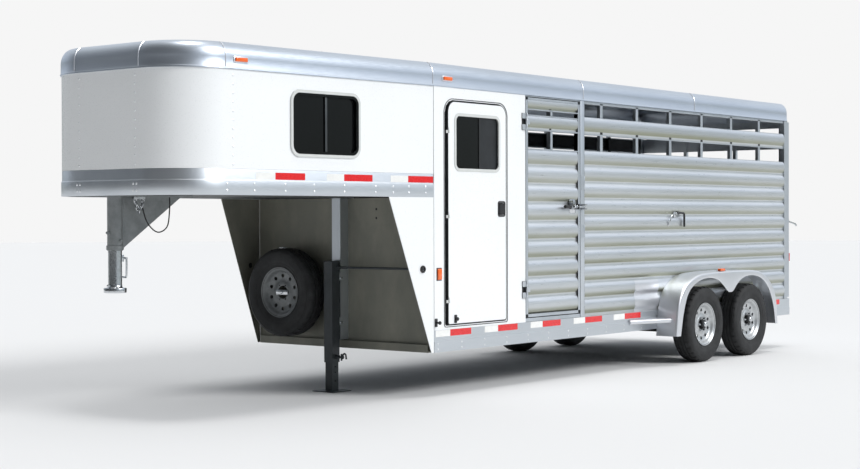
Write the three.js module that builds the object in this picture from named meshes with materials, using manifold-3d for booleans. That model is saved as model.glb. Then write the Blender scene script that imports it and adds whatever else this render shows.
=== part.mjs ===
// Gooseneck livestock trailer. Millimetres, +Z up, +X towards the rear gate, -Y the road side.
// Lengths along the trailer are counted from the joint between the tapered nose and the
// straight box; the finished parts are moved so the whole trailer is centred on the origin.
import * as THREE from 'three';
import { mergeVertices } from 'three/addons/utils/BufferGeometryUtils.js';
import Module from 'manifold-3d';

const wasm = await Module();
wasm.setup();

// ---------------------------------------------------------------- overall sizes
const GAP = 0.3;
const BODY_W = 2030;
const HALF = BODY_W / 2;
const BOX_L = 6695;
const NOSE_L = 2679;
const TAPER = THREE.MathUtils.degToRad(4.81);
const CORNER_R = 474;
const ARC_STEPS = 5;
const LATCH_REACH = 240;
const Z_RAIL = 371;
const RAIL_H = 187;
const Z_RAIL_TOP = Z_RAIL + RAIL_H;
const Z_ROOF_LOW = 2611;
const ROOF_RAIL_H = 204;
const Z_ROOF = Z_ROOF_LOW + ROOF_RAIL_H;
const Z_NOSE = 1677;
const NOSE_RAIL_H = 196;
const Z_NOSE_TOP = Z_NOSE + NOSE_RAIL_H;
const SKIN = 5;
const ROOF_LIP = 5;
const FRONT_X = -(NOSE_L + ROOF_LIP);
const KINK_X = -(FRONT_X + BOX_L + LATCH_REACH) / 2;

// ---------------------------------------------------------------- running gear sizes
const TYRE_R = 391;
const TYRE_W = 215;
const TYRE_SIDES = 20;
const TYRE_CLEAR = 10;
const WHEEL_X = [4300, 5310];
const WHEEL_IN = HALF + TYRE_CLEAR;
const WHEEL_OUT = WHEEL_IN + TYRE_W;
const FENDER_OUT = WHEEL_OUT + 12;
const HUB_R = 47;

// ---------------------------------------------------------------- solids from three.js shapes
function solid(geometry) {
  const bare = geometry.index ? geometry.toNonIndexed() : geometry.clone();
  bare.deleteAttribute('normal');
  bare.deleteAttribute('uv');
  const welded = mergeVertices(bare, 1e-3);
  const p = welded.attributes.position.array;
  const source = welded.index.array;
  const kept = [];
  for (let i = 0; i < source.length; i += 3) {
    const [a, b, c] = [source[i], source[i + 1], source[i + 2]];
    if (a !== b && b !== c && a !== c) kept.push(a, b, c);
  }
  let volume = 0;
  for (let i = 0; i < kept.length; i += 3) {
    const [a, b, c] = [kept[i] * 3, kept[i + 1] * 3, kept[i + 2] * 3];
    volume += p[a] * (p[b + 1] * p[c + 2] - p[b + 2] * p[c + 1]);
    volume += p[a + 1] * (p[b + 2] * p[c] - p[b] * p[c + 2]);
    volume += p[a + 2] * (p[b] * p[c + 1] - p[b + 1] * p[c]);
  }
  if (volume < 0) kept.reverse();
  return new wasm.Manifold(new wasm.Mesh({
    numProp: 3,
    vertProperties: new Float32Array(p),
    triVerts: new Uint32Array(kept),
  }));
}

const box = (x0, x1, y0, y1, z0, z1) => solid(
  new THREE.BoxGeometry(x1 - x0, y1 - y0, z1 - z0)
    .translate((x0 + x1) / 2, (y0 + y1) / 2, (z0 + z1) / 2));

function extrude(points, length) {
  const shape = new THREE.Shape(points.map(([u, v]) => new THREE.Vector2(u, v)));
  return new THREE.ExtrudeGeometry(shape, { depth: length, bevelEnabled: false });
}

// outline in (x, y), thickness along z
const slabXY = (points, z0, z1) => solid(extrude(points, z1 - z0).translate(0, 0, z0));

// outline in (x, z), thickness along y
const slabXZ = (points, y0, y1) => solid(
  extrude(points, y1 - y0).rotateX(Math.PI / 2).translate(0, y1, 0));

// outline in (y, z), thickness along x
function slabYZ(points, x0, x1) {
  const turn = new THREE.Matrix4().makeBasis(
    new THREE.Vector3(0, 1, 0), new THREE.Vector3(0, 0, 1), new THREE.Vector3(1, 0, 0));
  return solid(extrude(points, x1 - x0).applyMatrix4(turn).translate(x0, 0, 0));
}

const rod = (axis, r, from, to, sides = 12) => {
  const length = Math.hypot(to[0] - from[0], to[1] - from[1], to[2] - from[2]);
  const shape = new THREE.CylinderGeometry(r, r, length, sides);
  if (axis === 'x') shape.rotateZ(Math.PI / 2);
  if (axis === 'z') shape.rotateX(Math.PI / 2);
  return solid(shape.translate(
    (from[0] + to[0]) / 2, (from[1] + to[1]) / 2, (from[2] + to[2]) / 2));
};

const union = (...parts) => parts.flat().reduce((sum, part) => sum.add(part));
const mirrored = (part) => part.mirror([0, 1, 0]);

// rectangle with rounded corners in (u, v)
function roundRect(u0, u1, v0, v1, rLow, rHigh, steps = 3) {
  const corners = [
    [u1 - rLow, v0 + rLow, rLow, -90], [u1 - rHigh, v1 - rHigh, rHigh, 0],
    [u0 + rHigh, v1 - rHigh, rHigh, 90], [u0 + rLow, v0 + rLow, rLow, 180],
  ];
  const points = [];
  for (const [cu, cv, r, start] of corners) {
    for (let i = 0; i <= steps; i += 1) {
      const a = THREE.MathUtils.degToRad(start + (90 * i) / steps);
      points.push([cu + r * Math.cos(a), cv + r * Math.sin(a)]);
    }
  }
  return points;
}

// bar bent along 3-D points
function bentRod(points, r, sides = 8, steps = 24) {
  const curve = new THREE.CatmullRomCurve3(
    points.map(([x, y, z]) => new THREE.Vector3(x, y, z)), false, 'centripetal');
  const ring = new THREE.Shape();
  for (let i = 0; i < sides; i += 1) {
    const a = (2 * Math.PI * i) / sides;
    if (i === 0) ring.moveTo(r * Math.cos(a), r * Math.sin(a));
    else ring.lineTo(r * Math.cos(a), r * Math.sin(a));
  }
  return solid(new THREE.ExtrudeGeometry(ring, { steps, extrudePath: curve }));
}

// closed skin over rings of matching points; capped when the run is open
function skinned(rings, closed) {
  const count = rings[0].length;
  const flat = rings.flat();
  const triangles = [];
  const last = closed ? rings.length : rings.length - 1;
  for (let s = 0; s < last; s += 1) {
    const a = s * count;
    const b = ((s + 1) % rings.length) * count;
    for (let i = 0; i < count; i += 1) {
      const j = (i + 1) % count;
      triangles.push(a + i, b + i, b + j, a + i, b + j, a + j);
    }
  }
  const cap = (ring, start, along) => {
    const origin = ring[0];
    const far = ring.reduce((a, b) => (
      Math.hypot(b[0] - origin[0], b[1] - origin[1])
        > Math.hypot(a[0] - origin[0], a[1] - origin[1]) ? b : a));
    const across = ring.map((p) => new THREE.Vector2(
      (p[0] - origin[0]) * (far[0] - origin[0]) + (p[1] - origin[1]) * (far[1] - origin[1]), p[2]));
    const ringArea = THREE.ShapeUtils.area(across);
    for (const [i, j, k] of THREE.ShapeUtils.triangulateShape(across, [])) {
      const follows = THREE.ShapeUtils.area([across[i], across[j], across[k]]) * ringArea > 0;
      if (follows === along) triangles.push(start + i, start + j, start + k);
      else triangles.push(start + i, start + k, start + j);
    }
  };
  if (!closed) {
    cap(rings[0], 0, true);
    cap(rings[rings.length - 1], (rings.length - 1) * count, false);
  }
  const geometry = new THREE.BufferGeometry();
  geometry.setAttribute('position', new THREE.Float32BufferAttribute(flat.flat(), 3));
  geometry.setIndex(triangles);
  return solid(geometry);
}

// ---------------------------------------------------------------- plan outline of the body
// nose outline, inset by d, from the joint on the road side round to the joint on the far side
function noseLine(d) {
  const cx = -NOSE_L + CORNER_R;
  const cy = HALF - CORNER_R / Math.cos(TAPER) + cx * Math.tan(TAPER);
  const joint = [-d * Math.tan(TAPER / 2), HALF - d];
  const half = [joint];
  for (let i = 0; i <= ARC_STEPS; i += 1) {
    const a = Math.PI / 2 + TAPER + ((Math.PI / 2 - TAPER) * i) / ARC_STEPS;
    half.push([cx + (CORNER_R - d) * Math.cos(a), cy + (CORNER_R - d) * Math.sin(a)]);
  }
  return [...half.map(([x, y]) => [x, -y]), ...half.reverse()];
}

// whole outline, inset by d, closed behind the rear corners
const bodyLine = (d) => [
  ...noseLine(d), [BOX_L - d, HALF - d], [BOX_L - d, -(HALF - d)],
];

// profile [(inset, z)] carried along an outline
function swept(profile, line, closed) {
  const lines = profile.map(([d]) => line(d));
  const rings = lines[0].map((_, i) => profile.map(([, z], j) => [...lines[j][i], z]));
  return skinned(rings, closed);
}

// parts built flat against the road-side face of the nose, then turned to its taper
const onNose = (part) => part.rotate([0, 0, -THREE.MathUtils.radToDeg(TAPER)])
  .translate([0, -HALF, 0]);

// ---------------------------------------------------------------- nose
const NOSE_RAIL_D = 40;
const NOSE_STEP_H = 113;
const WALL = 6;

const noseRail = swept([
  [0, Z_NOSE], [0, Z_NOSE + NOSE_STEP_H - 2], [WALL, Z_NOSE + NOSE_STEP_H + 2],
  [WALL, Z_NOSE_TOP], [NOSE_RAIL_D, Z_NOSE_TOP], [NOSE_RAIL_D, Z_NOSE_TOP - WALL],
  [2 * WALL, Z_NOSE_TOP - WALL], [2 * WALL, Z_NOSE + WALL], [NOSE_RAIL_D, Z_NOSE + WALL],
  [NOSE_RAIL_D, Z_NOSE],
], noseLine, false);

const WINDOW = { x0: -1611, x1: -862, z0: 1976, z1: 2496, lip: 40, r: 90 };
const PANE_T = 5;
const PANE_OVERLAP = 30;

const noseSkin = swept([
  [WALL, Z_NOSE_TOP + GAP], [WALL, Z_ROOF_LOW - GAP],
  [WALL + SKIN, Z_ROOF_LOW - GAP], [WALL + SKIN, Z_NOSE_TOP + GAP],
], noseLine, false);
const windowHole = onNose(slabXZ(roundRect(
  WINDOW.x0 + WINDOW.lip / 2, WINDOW.x1 - WINDOW.lip / 2,
  WINDOW.z0 + WINDOW.lip / 2, WINDOW.z1 - WINDOW.lip / 2, WINDOW.r, WINDOW.r), -40, 60));
const noseShell = noseSkin.subtract(windowHole);

const NOSE_FLOOR_T = 12;
const Z_NOSE_FLOOR = Z_NOSE + WALL + GAP;
const noseFloor = slabXY(noseLine(2 * WALL + GAP), Z_NOSE_FLOOR, Z_NOSE_FLOOR + NOSE_FLOOR_T)
  .subtract(box(-WALL, 60, -BODY_W, BODY_W, Z_NOSE, Z_NOSE_TOP));

// the window frame stands on the skin; its glass runs in it
const frameIn = WINDOW.lip;
const windowFrame = onNose(
  slabXZ(roundRect(WINDOW.x0, WINDOW.x1, WINDOW.z0, WINDOW.z1, WINDOW.r, WINDOW.r), -6, WALL - GAP)
    .subtract(slabXZ(roundRect(
      WINDOW.x0 + frameIn, WINDOW.x1 - frameIn, WINDOW.z0 + frameIn, WINDOW.z1 - frameIn,
      WINDOW.r / 2, WINDOW.r / 2), -20, 20)));
const windowMid = (WINDOW.x0 + WINDOW.x1) / 2;
const paneY = WALL + SKIN + 2;
const noseGlass = onNose(box(WINDOW.x0 + 10, windowMid + PANE_OVERLAP / 2, paneY, paneY + PANE_T,
  WINDOW.z0 + 10, WINDOW.z1 - 10));
const sliderY = paneY + PANE_T + 2;
const noseSlider = onNose(union(
  box(windowMid - PANE_OVERLAP / 2, WINDOW.x1 - 10, sliderY, sliderY + PANE_T,
    WINDOW.z0 + 14, WINDOW.z1 - 14),
  box(windowMid - PANE_OVERLAP / 2 + 2, windowMid + PANE_OVERLAP / 2 - 2, sliderY + PANE_T - 1,
    sliderY + PANE_T + 9, 2160, 2300)));

// ---------------------------------------------------------------- riser below the nose
const RISER_TOP = 538;
const RISER_FOOT = 34;
const CHANNEL_D = 104;
const CHANNEL_W = 96;
const CRANK_Z = 1076;
const SHAFT_X = -142;
const SHAFT_R = 11;
const JACK_Y = -15;

const riserPanel = onNose(slabXZ([
  [-RISER_FOOT, Z_RAIL], [-WALL - GAP, Z_RAIL], [-WALL - GAP, Z_NOSE - GAP],
  [-RISER_TOP, Z_NOSE - GAP],
], 0, SKIN).subtract(rod('y', SHAFT_R + 4, [SHAFT_X, -20, CRANK_Z], [SHAFT_X, 20, CRANK_Z])));

const WALL_X = -WALL;
const SPARE = { y: 495, z: 850, back: -96 };
const CARRIER_HALF = 50;
const STUD_R = 9;
const frontWall = union(
  box(WALL_X, WALL_X + SKIN, -HALF + SKIN + 2, HALF - SKIN - 2, Z_RAIL, Z_NOSE - GAP),
  box(WALL_X - 34, WALL_X, -HALF + 40, HALF - 40, Z_RAIL, Z_RAIL + 12),
  box(WALL_X - 34, WALL_X - 28, -HALF + 40, HALF - 40, Z_RAIL, Z_RAIL + 66),
  box(WALL_X - 66, WALL_X, SPARE.y - CARRIER_HALF, SPARE.y + CARRIER_HALF,
    SPARE.z - CARRIER_HALF, SPARE.z + CARRIER_HALF),
  rod('x', STUD_R, [-262, SPARE.y, SPARE.z], [WALL_X - 60, SPARE.y, SPARE.z]));

const channelY0 = JACK_Y - CHANNEL_W / 2;
const channelY1 = JACK_Y + CHANNEL_W / 2;
const channelX0 = WALL_X - GAP - CHANNEL_D;
const JACK_W = 95;
const jackX = channelX0 - GAP - 12 - JACK_W / 2;
const BRACKET_Z = [608, 996];
const channelBody = slabXY([
  [channelX0, channelY0], [WALL_X - GAP, channelY0], [WALL_X - GAP, channelY0 + 5],
  [channelX0 + 5, channelY0 + 5], [channelX0 + 5, channelY1 - 5], [WALL_X - GAP, channelY1 - 5],
  [WALL_X - GAP, channelY1], [channelX0, channelY1],
], Z_RAIL + 75, Z_NOSE - GAP);
const jackChannel = union(channelBody, BRACKET_Z.map((z) => box(
  channelX0 - 12, channelX0 + 2, channelY0, channelY1, z - 35, z + 35)));

// ---------------------------------------------------------------- jack
const JACK_WALL = 5;
const JACK_BOTTOM = 252;
const JACK_TOP = 1124;
const LEG_W = 80;
const LEG_TOP = 800;
const FOOT = 240;
const FOOT_T = 8;
const jackY0 = JACK_Y - JACK_W / 2;
const half = (centre, width) => [centre - width / 2, centre + width / 2];
const squareTube = (x, y, width, wall, z0, z1) => box(...half(x, width), ...half(y, width), z0, z1)
  .subtract(box(...half(x, width - 2 * wall), ...half(y, width - 2 * wall), z0 - 1, z1 + 1));

const PIN_Z = 300;
const PIN_R = 8;
const jackTube = union(
  squareTube(jackX, JACK_Y, JACK_W, JACK_WALL, JACK_BOTTOM, JACK_TOP),
  box(...half(jackX, JACK_W), ...half(JACK_Y, JACK_W), JACK_TOP - 8, JACK_TOP),
  rod('y', 20, [jackX, jackY0 - 34, PIN_Z], [jackX, jackY0 + 1, PIN_Z]))
  .subtract(rod('y', PIN_R + 1, [jackX, jackY0 - 60, PIN_Z], [jackX, jackY0 + 30, PIN_Z]))
  .subtract(rod('y', SHAFT_R + 1, [SHAFT_X, jackY0 - 30, CRANK_Z],
    [SHAFT_X, jackY0 + 30, CRANK_Z]));

const LEG_HOLES = [90, 165, 215];
const jackLeg = LEG_HOLES.reduce((leg, z) => leg.subtract(
  rod('y', PIN_R, [jackX, JACK_Y - 60, z], [jackX, JACK_Y + 60, z])),
  union(squareTube(jackX, JACK_Y, LEG_W, 5, FOOT_T - 1, LEG_TOP),
    box(...half(jackX, FOOT), ...half(JACK_Y, FOOT), 0, FOOT_T)));

const jackPin = union(
  rod('y', PIN_R, [jackX, jackY0 - 70, PIN_Z], [jackX, jackY0 + 3, PIN_Z], 10),
  rod('z', PIN_R, [jackX, jackY0 - 64, PIN_Z - 30], [jackX, jackY0 - 64, PIN_Z + 30], 10));

const CRANK_END = -HALF + 17;
const DRIVE_L = 14;
const jackCrank = union(
  rod('y', SHAFT_R, [SHAFT_X, CRANK_END, CRANK_Z], [SHAFT_X, jackY0 + 12, CRANK_Z]),
  rod('y', SHAFT_R - 2, [SHAFT_X, CRANK_END - DRIVE_L, CRANK_Z],
    [SHAFT_X, CRANK_END + 2, CRANK_Z], 6));

// ---------------------------------------------------------------- coupler
const COUPLER_X = -NOSE_L + 83;
const NECK_R = 58;
const NECK_WALL = 5;
const NECK_BOTTOM = 1264;
const SLIDE_R = 52;
const SLIDE_TOP = 1560;
const FLANGE_Z0 = 947;
const FLANGE_T = 39;
const FLANGE_R = 86;
const SOCKET_R = 38;
const NECK_SIDES = 16;
const neckTop = Z_NOSE_FLOOR - GAP;
const NECK_PLATE_X = -NOSE_L + NOSE_RAIL_D + 1;
const couplerNeck = union(
  rod('z', NECK_R, [COUPLER_X, 0, NECK_BOTTOM], [COUPLER_X, 0, neckTop - 8], NECK_SIDES),
  slabXY([[NECK_PLATE_X, -110], [-1900, -110], [-1900, 110], [NECK_PLATE_X, 110]],
    neckTop - 10, neckTop),
  slabXZ([[COUPLER_X + NECK_R - 3, NECK_BOTTOM + 4], [-1925, neckTop - 9],
    [COUPLER_X + NECK_R - 3, neckTop - 9]], -7, 7),
  rod('x', 11, [COUPLER_X - NECK_R - 22, 0, 1398], [COUPLER_X - NECK_R + 3, 0, 1398], 6))
  .subtract(rod('z', NECK_R - NECK_WALL, [COUPLER_X, 0, NECK_BOTTOM - 1],
    [COUPLER_X, 0, neckTop - 40], NECK_SIDES));

const couplerTube = union(
  rod('z', SLIDE_R, [COUPLER_X, 0, FLANGE_Z0 + 4], [COUPLER_X, 0, SLIDE_TOP], NECK_SIDES),
  rod('z', FLANGE_R, [COUPLER_X, 0, FLANGE_Z0], [COUPLER_X, 0, FLANGE_Z0 + FLANGE_T], NECK_SIDES),
  box(COUPLER_X + SLIDE_R - 6, COUPLER_X + SLIDE_R + 12, -30, 30, 1180, 1232))
  .subtract(rod('z', SOCKET_R, [COUPLER_X, 0, FLANGE_Z0 - 1], [COUPLER_X, 0, FLANGE_Z0 + 110],
    NECK_SIDES));

const HANDLE_X = COUPLER_X + SLIDE_R + 22;
const couplerHandle = union(
  rod('y', 8, [HANDLE_X, -44, 1206], [HANDLE_X, 44, 1206], 8),
  rod('z', 8, [HANDLE_X, -44, 1064], [HANDLE_X, -44, 1210], 8),
  rod('z', 8, [HANDLE_X, 44, 1064], [HANDLE_X, 44, 1210], 8),
  rod('y', 8, [HANDLE_X, -50, 1064], [HANDLE_X, 50, 1064], 8));

const CABLE_R = 5;
const cable = bentRod([
  [-2380, -60, neckTop - 10.6 - CABLE_R], [-2376, -62, 1590], [-2330, -66, 1470],
  [-2230, -66, 1400], [-2130, -64, 1440], [-2100, -60, 1560],
  [-2096, -58, neckTop - 10.6 - CABLE_R],
], CABLE_R, 8, 28);

// ---------------------------------------------------------------- deck and chassis
const BASE_D = 46;
const FLOOR_TOP = Z_RAIL_TOP - 6;
const FLOOR_T = 30;
const FLOOR_Z = FLOOR_TOP - FLOOR_T;
const FRAME_X1 = BOX_L - 56;
const sideInner = HALF - BASE_D - GAP;
const PLANKS = 8;
const plankW = (2 * sideInner) / PLANKS;
const floorGrooves = Array.from({ length: PLANKS - 1 }, (_, i) => {
  const y = -sideInner + (i + 1) * plankW;
  return box(-10, BOX_L, y - 3, y + 3, FLOOR_TOP - 5, FLOOR_TOP + 5);
});
const floor = floorGrooves.reduce((deck, cut) => deck.subtract(cut),
  box(2, FRAME_X1 - 2, -sideInner, sideInner, FLOOR_Z, FLOOR_TOP));

const BEAM_Y = 700;
const BEAM_W = 60;
const BEAM_H = 100;
const BEAM_T = 8;
const CROSS_H = 45;
const crossTop = FLOOR_Z - GAP;
const beamTop = crossTop - CROSS_H + 1;
const beam = slabYZ([
  [-BEAM_Y, beamTop - BEAM_H], [-BEAM_Y, beamTop], [-BEAM_Y - BEAM_W, beamTop],
  [-BEAM_Y - BEAM_W, beamTop - BEAM_T], [-BEAM_Y - BEAM_T, beamTop - BEAM_T],
  [-BEAM_Y - BEAM_T, beamTop - BEAM_H + BEAM_T],
  [-BEAM_Y - BEAM_W, beamTop - BEAM_H + BEAM_T], [-BEAM_Y - BEAM_W, beamTop - BEAM_H],
], 4, FRAME_X1 - 4);
const CROSSES = 9;
const crosses = Array.from({ length: CROSSES }, (_, i) => {
  const x = 30 + ((FRAME_X1 - 80) * i) / (CROSSES - 1);
  return box(x, x + 40, -sideInner, sideInner, crossTop - CROSS_H, crossTop);
});
const chassis = union(beam, mirrored(beam), crosses);

// torsion axles: tube under the beams, a trailing arm and a spindle at each end
const TUBE = 72;
const ARM_REACH = 150;
const axleTubeTop = beamTop - BEAM_H - GAP;
const ARM_Y0 = 890;
const ARM_Y1 = 940;
const SPINDLE_R = 20;
const axleAt = (x) => {
  const tubeX = x - ARM_REACH;
  const tubeZ = axleTubeTop - TUBE / 2;
  const arm = slabXZ([
    [tubeX - 40, tubeZ - 34], [x + 38, TYRE_R - 36], [x + 38, TYRE_R + 36], [tubeX - 40, tubeZ + 36],
  ], ARM_Y0, ARM_Y1);
  const spindle = rod('y', SPINDLE_R, [x, ARM_Y1 - 4, TYRE_R], [x, WHEEL_OUT - 90, TYRE_R]);
  const end = union(arm, spindle);
  return union(box(...half(tubeX, TUBE), -ARM_Y0 - 4, ARM_Y0 + 4, axleTubeTop - TUBE, axleTubeTop),
    end, mirrored(end));
};

// ---------------------------------------------------------------- body sides
const NOTCH = { half: 62, top: 470 };
const baseProfile = [
  [HALF, Z_RAIL], [HALF, Z_RAIL + 92], [HALF - 4, Z_RAIL + 95], [HALF - 4, Z_RAIL_TOP],
  [HALF - BASE_D, Z_RAIL_TOP], [HALF - BASE_D, Z_RAIL_TOP - WALL],
  [HALF - 4 - WALL, Z_RAIL_TOP - WALL], [HALF - 4 - WALL, Z_RAIL + WALL],
  [HALF - BASE_D, Z_RAIL + WALL], [HALF - BASE_D, Z_RAIL],
];
const baseRail = WHEEL_X.reduce((rail, x) => rail.subtract(
  box(x - NOTCH.half, x + NOTCH.half, -HALF - 10, -HALF + BASE_D + 10, Z_RAIL - 10, NOTCH.top)),
slabYZ(baseProfile.map(([y, z]) => [-y, z]), GAP, BOX_L - 2));

const DOOR = { x0: 138, x1: 1050, z0: 581, z1: 2513, edge: 50, rTop: 120, rLow: 20 };
const JAMB_X0 = 1275;
const JAMB_X1 = 1336;
const sideSheet = box(GAP, JAMB_X1, -HALF, -HALF + SKIN, Z_RAIL_TOP + GAP, Z_ROOF_LOW - GAP);
const doorCut = slabXZ(roundRect(
  DOOR.x0 + 8, DOOR.x1 - 8, DOOR.z0 + 8, DOOR.z1 - 8, DOOR.rLow, DOOR.rTop - 8),
-HALF - 60, -HALF + 60);
const frontSideLeft = sideSheet.subtract(doorCut);
const frontSideRight = mirrored(sideSheet);

const FRAME_PROUD = 6;
const FRAME_D = 40;
const slabX0 = DOOR.x0 + DOOR.edge;
const slabX1 = DOOR.x1 - 22;
const slabZ0 = DOOR.z0 + 20;
const slabZ1 = DOOR.z1 - 22;
const entryFrame = union(
  slabXZ(roundRect(DOOR.x0, DOOR.x1, DOOR.z0, DOOR.z1, DOOR.rLow, DOOR.rTop),
    -HALF - FRAME_PROUD, -HALF - GAP),
  slabXZ(roundRect(DOOR.x0 + 9, DOOR.x1 - 9, DOOR.z0 + 9, DOOR.z1 - 9, DOOR.rLow, DOOR.rTop - 9),
    -HALF - 1, -HALF + FRAME_D))
  .subtract(slabXZ(roundRect(slabX0 - 4, slabX1 + 5, slabZ0 - 4, slabZ1 + 4,
    DOOR.rLow, DOOR.rTop - 24), -HALF - 60, -HALF + 60));

// hinge: one knuckle on the frame and one on the door, on one axis
const KNUCKLE_R = 7;
const KNUCKLE_H = 26;
const ENTRY_AXIS = { x: slabX0 - 2, y: -HALF - FRAME_PROUD - KNUCKLE_R - 2 };
const ENTRY_HINGES = [820, 1540, 2260];
const knuckle = (axis, r, z, height) => rod(
  'z', r, [axis.x, axis.y, z + GAP], [axis.x, axis.y, z + height - GAP], 10);
const frameKnuckles = ENTRY_HINGES.flatMap((z) => [
  knuckle(ENTRY_AXIS, KNUCKLE_R, z - 1.5 * KNUCKLE_H, KNUCKLE_H),
  box(ENTRY_AXIS.x - 30, ENTRY_AXIS.x, ENTRY_AXIS.y, -HALF - FRAME_PROUD + 1,
    z - 1.5 * KNUCKLE_H + GAP, z - 0.5 * KNUCKLE_H - GAP)]);
const entryFrameFull = union(entryFrame, frameKnuckles);

const SLAB_T = 32;
const slabY0 = -HALF - FRAME_PROUD;
const slabY1 = slabY0 + SLAB_T;
const PANE = { x0: 283, x1: 927, z0: 1912, z1: 2387, r: 60 };
const doorKnuckles = ENTRY_HINGES.flatMap((z) => [
  knuckle(ENTRY_AXIS, KNUCKLE_R, z - 0.5 * KNUCKLE_H, KNUCKLE_H),
  box(ENTRY_AXIS.x, ENTRY_AXIS.x + 34, ENTRY_AXIS.y, slabY0 + 1,
    z - 0.5 * KNUCKLE_H + GAP, z + 0.5 * KNUCKLE_H - GAP)]);
const PADDLE = { x0: 907, x1: 1008, z0: 1520, z1: 1642 };
const entryDoor = union(
  slabXZ(roundRect(slabX0, slabX1, slabZ0, slabZ1, DOOR.rLow, DOOR.rTop - 28), slabY0, slabY1)
    .subtract(slabXZ(roundRect(PANE.x0, PANE.x1, PANE.z0, PANE.z1, PANE.r, PANE.r), slabY0 - 9,
      slabY1 + 9))
    .subtract(box(PADDLE.x0 + 8, PADDLE.x1 - 8, slabY0 - 1, slabY0 + 18,
      PADDLE.z0 + 8, PADDLE.z1 - 8)),
  doorKnuckles);
const paneMid = 640;
const paneIn = (y0, y1) => slabXZ(roundRect(PANE.x0 + GAP, PANE.x1 - GAP, PANE.z0 + GAP,
  PANE.z1 - GAP, PANE.r, PANE.r), y0, y1);
const entryGlass = paneIn(slabY0 + 8, slabY0 + 13).intersect(
  box(0, paneMid + 12, -BODY_W, BODY_W, PANE.z0, PANE.z1));
const entrySlider = union(
  paneIn(slabY0 + 15, slabY0 + 20).intersect(
    box(paneMid - 12, PANE.x1, -BODY_W, BODY_W, PANE.z0, PANE.z1)),
  box(paneMid - 10, paneMid + 10, slabY0 + 19, slabY0 + 30, 2090, 2210));
const entryPaddle = box(PADDLE.x0 + 12, PADDLE.x1 - 12, slabY0 - 8, slabY0 + 6,
  PADDLE.z0 + 12, PADDLE.z1 - 12);

// ---------------------------------------------------------------- slatted stock sides
const SLAT_BULGE = 15;
const SLAT_P = 166;
const SHEET = 4;
const ROW_LOW = [2138, 2291];
const ROW_HIGH = [2459, 2584];
// each slat is a flat strip below and a bulge above it: [share of the pitch, share of the bulge]
const slatCurve = [[0, 0], [0.2, 0], [0.36, 0.85], [0.8, 0.85]];

// corrugated sheet between two heights, as a (y, z) band for the road side
function slatBand(z0, z1) {
  const count = Math.max(1, Math.round((z1 - z0) / SLAT_P));
  const pitch = (z1 - z0) / count;
  const front = [];
  for (let i = 0; i < count; i += 1) {
    for (const [t, b] of slatCurve) {
      front.push([-(HALF - SLAT_BULGE + b * SLAT_BULGE), z0 + (i + t) * pitch]);
    }
  }
  front.push([-(HALF - SLAT_BULGE), z1]);
  const back = front.map(([y, z]) => [y + SHEET, z]).reverse();
  return [...front, ...back];
}

const POST_W = 46;
const POST_D = 34;
const POST_TAIL = 20;
const postY = [-(HALF - SLAT_BULGE + 1), -(HALF - SLAT_BULGE + 1) + POST_D];
const SIDE_Z0 = Z_RAIL_TOP + GAP;
const SIDE_Z1 = Z_ROOF_LOW - GAP;
const END_EASE = 2;
const postAt = (x) => box(...half(x, POST_W), ...postY, ROW_LOW[0] - POST_TAIL, SIDE_Z1);
const headAt = (x0, x1) => box(x0, x1, ...postY, ROW_HIGH[1], SIDE_Z1);

const stockWall = (x0, x1, posts) => union(
  slabYZ(slatBand(SIDE_Z0, ROW_LOW[0]), x0, x1),
  slabYZ(slatBand(ROW_LOW[1], ROW_HIGH[0]), x0, x1),
  headAt(x0, x1),
  box(x0, x1, postY[0] + 4, postY[0] + 20, ROW_LOW[0] - 22, ROW_LOW[0]),
  box(x0, x1, postY[0] + 4, postY[0] + 20, ROW_LOW[1], ROW_LOW[1] + 18),
  box(x0, x1, postY[0] + 4, postY[0] + 20, ROW_HIGH[0] - 18, ROW_HIGH[0]),
  posts.map((x) => postAt(x)));

const STOCK_X1 = FRAME_X1 - 70;
const REAR_POST = 70;
const POST_BASE = 2640;
const POST_PITCH = 662;
const POSTS = Array.from({ length: 6 }, (_, i) => POST_BASE + i * POST_PITCH);
const SDOOR = { x0: 1343, x1: 2239, z0: 600, z1: 2594 };
const LATCH_POST = { x0: 2246, x1: 2318 };
const LATCH_Z = 1605;
const rodY = -HALF - 34;
const KEEPER_X = [2252, 2290];
const keeper = union(
  box(...KEEPER_X, -HALF - 22, -HALF, LATCH_Z - 26, LATCH_Z + 26),
  box(...KEEPER_X, -HALF - 46, -HALF - 20, LATCH_Z + 13, LATCH_Z + 26),
  box(...KEEPER_X, -HALF - 46, -HALF - 20, LATCH_Z - 26, LATCH_Z - 13));
const STOCK_AXIS = { x: SDOOR.x0 - 6, y: -HALF - 16 };
const STOCK_KNUCKLE_R = 9;
const STOCK_HINGES = [854, 2371];
const LEAF_H = 150;
const leafThird = LEAF_H / 3;
const jambKnuckles = STOCK_HINGES.flatMap((z) => [z - 1.5 * leafThird, z + 0.5 * leafThird].flatMap(
  (low) => [knuckle(STOCK_AXIS, STOCK_KNUCKLE_R, low, leafThird),
    box(STOCK_AXIS.x - 56, STOCK_AXIS.x, STOCK_AXIS.y + 3, STOCK_AXIS.y + 9,
      low + GAP, low + leafThird - GAP),
    box(STOCK_AXIS.x - 56, STOCK_AXIS.x - 20, STOCK_AXIS.y + 4, -HALF + SKIN + 3,
      low + GAP, low + leafThird - GAP)]));
const leafCut = STOCK_HINGES.map((z) => box(
  STOCK_AXIS.x - 57, JAMB_X1 + 2, -HALF - 2, -HALF + SKIN + 2, z - LEAF_H / 2 - 1, z + LEAF_H / 2 + 1));
const frontSideLeftCut = leafCut.reduce((sheet, cut) => sheet.subtract(cut), frontSideLeft);

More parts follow.
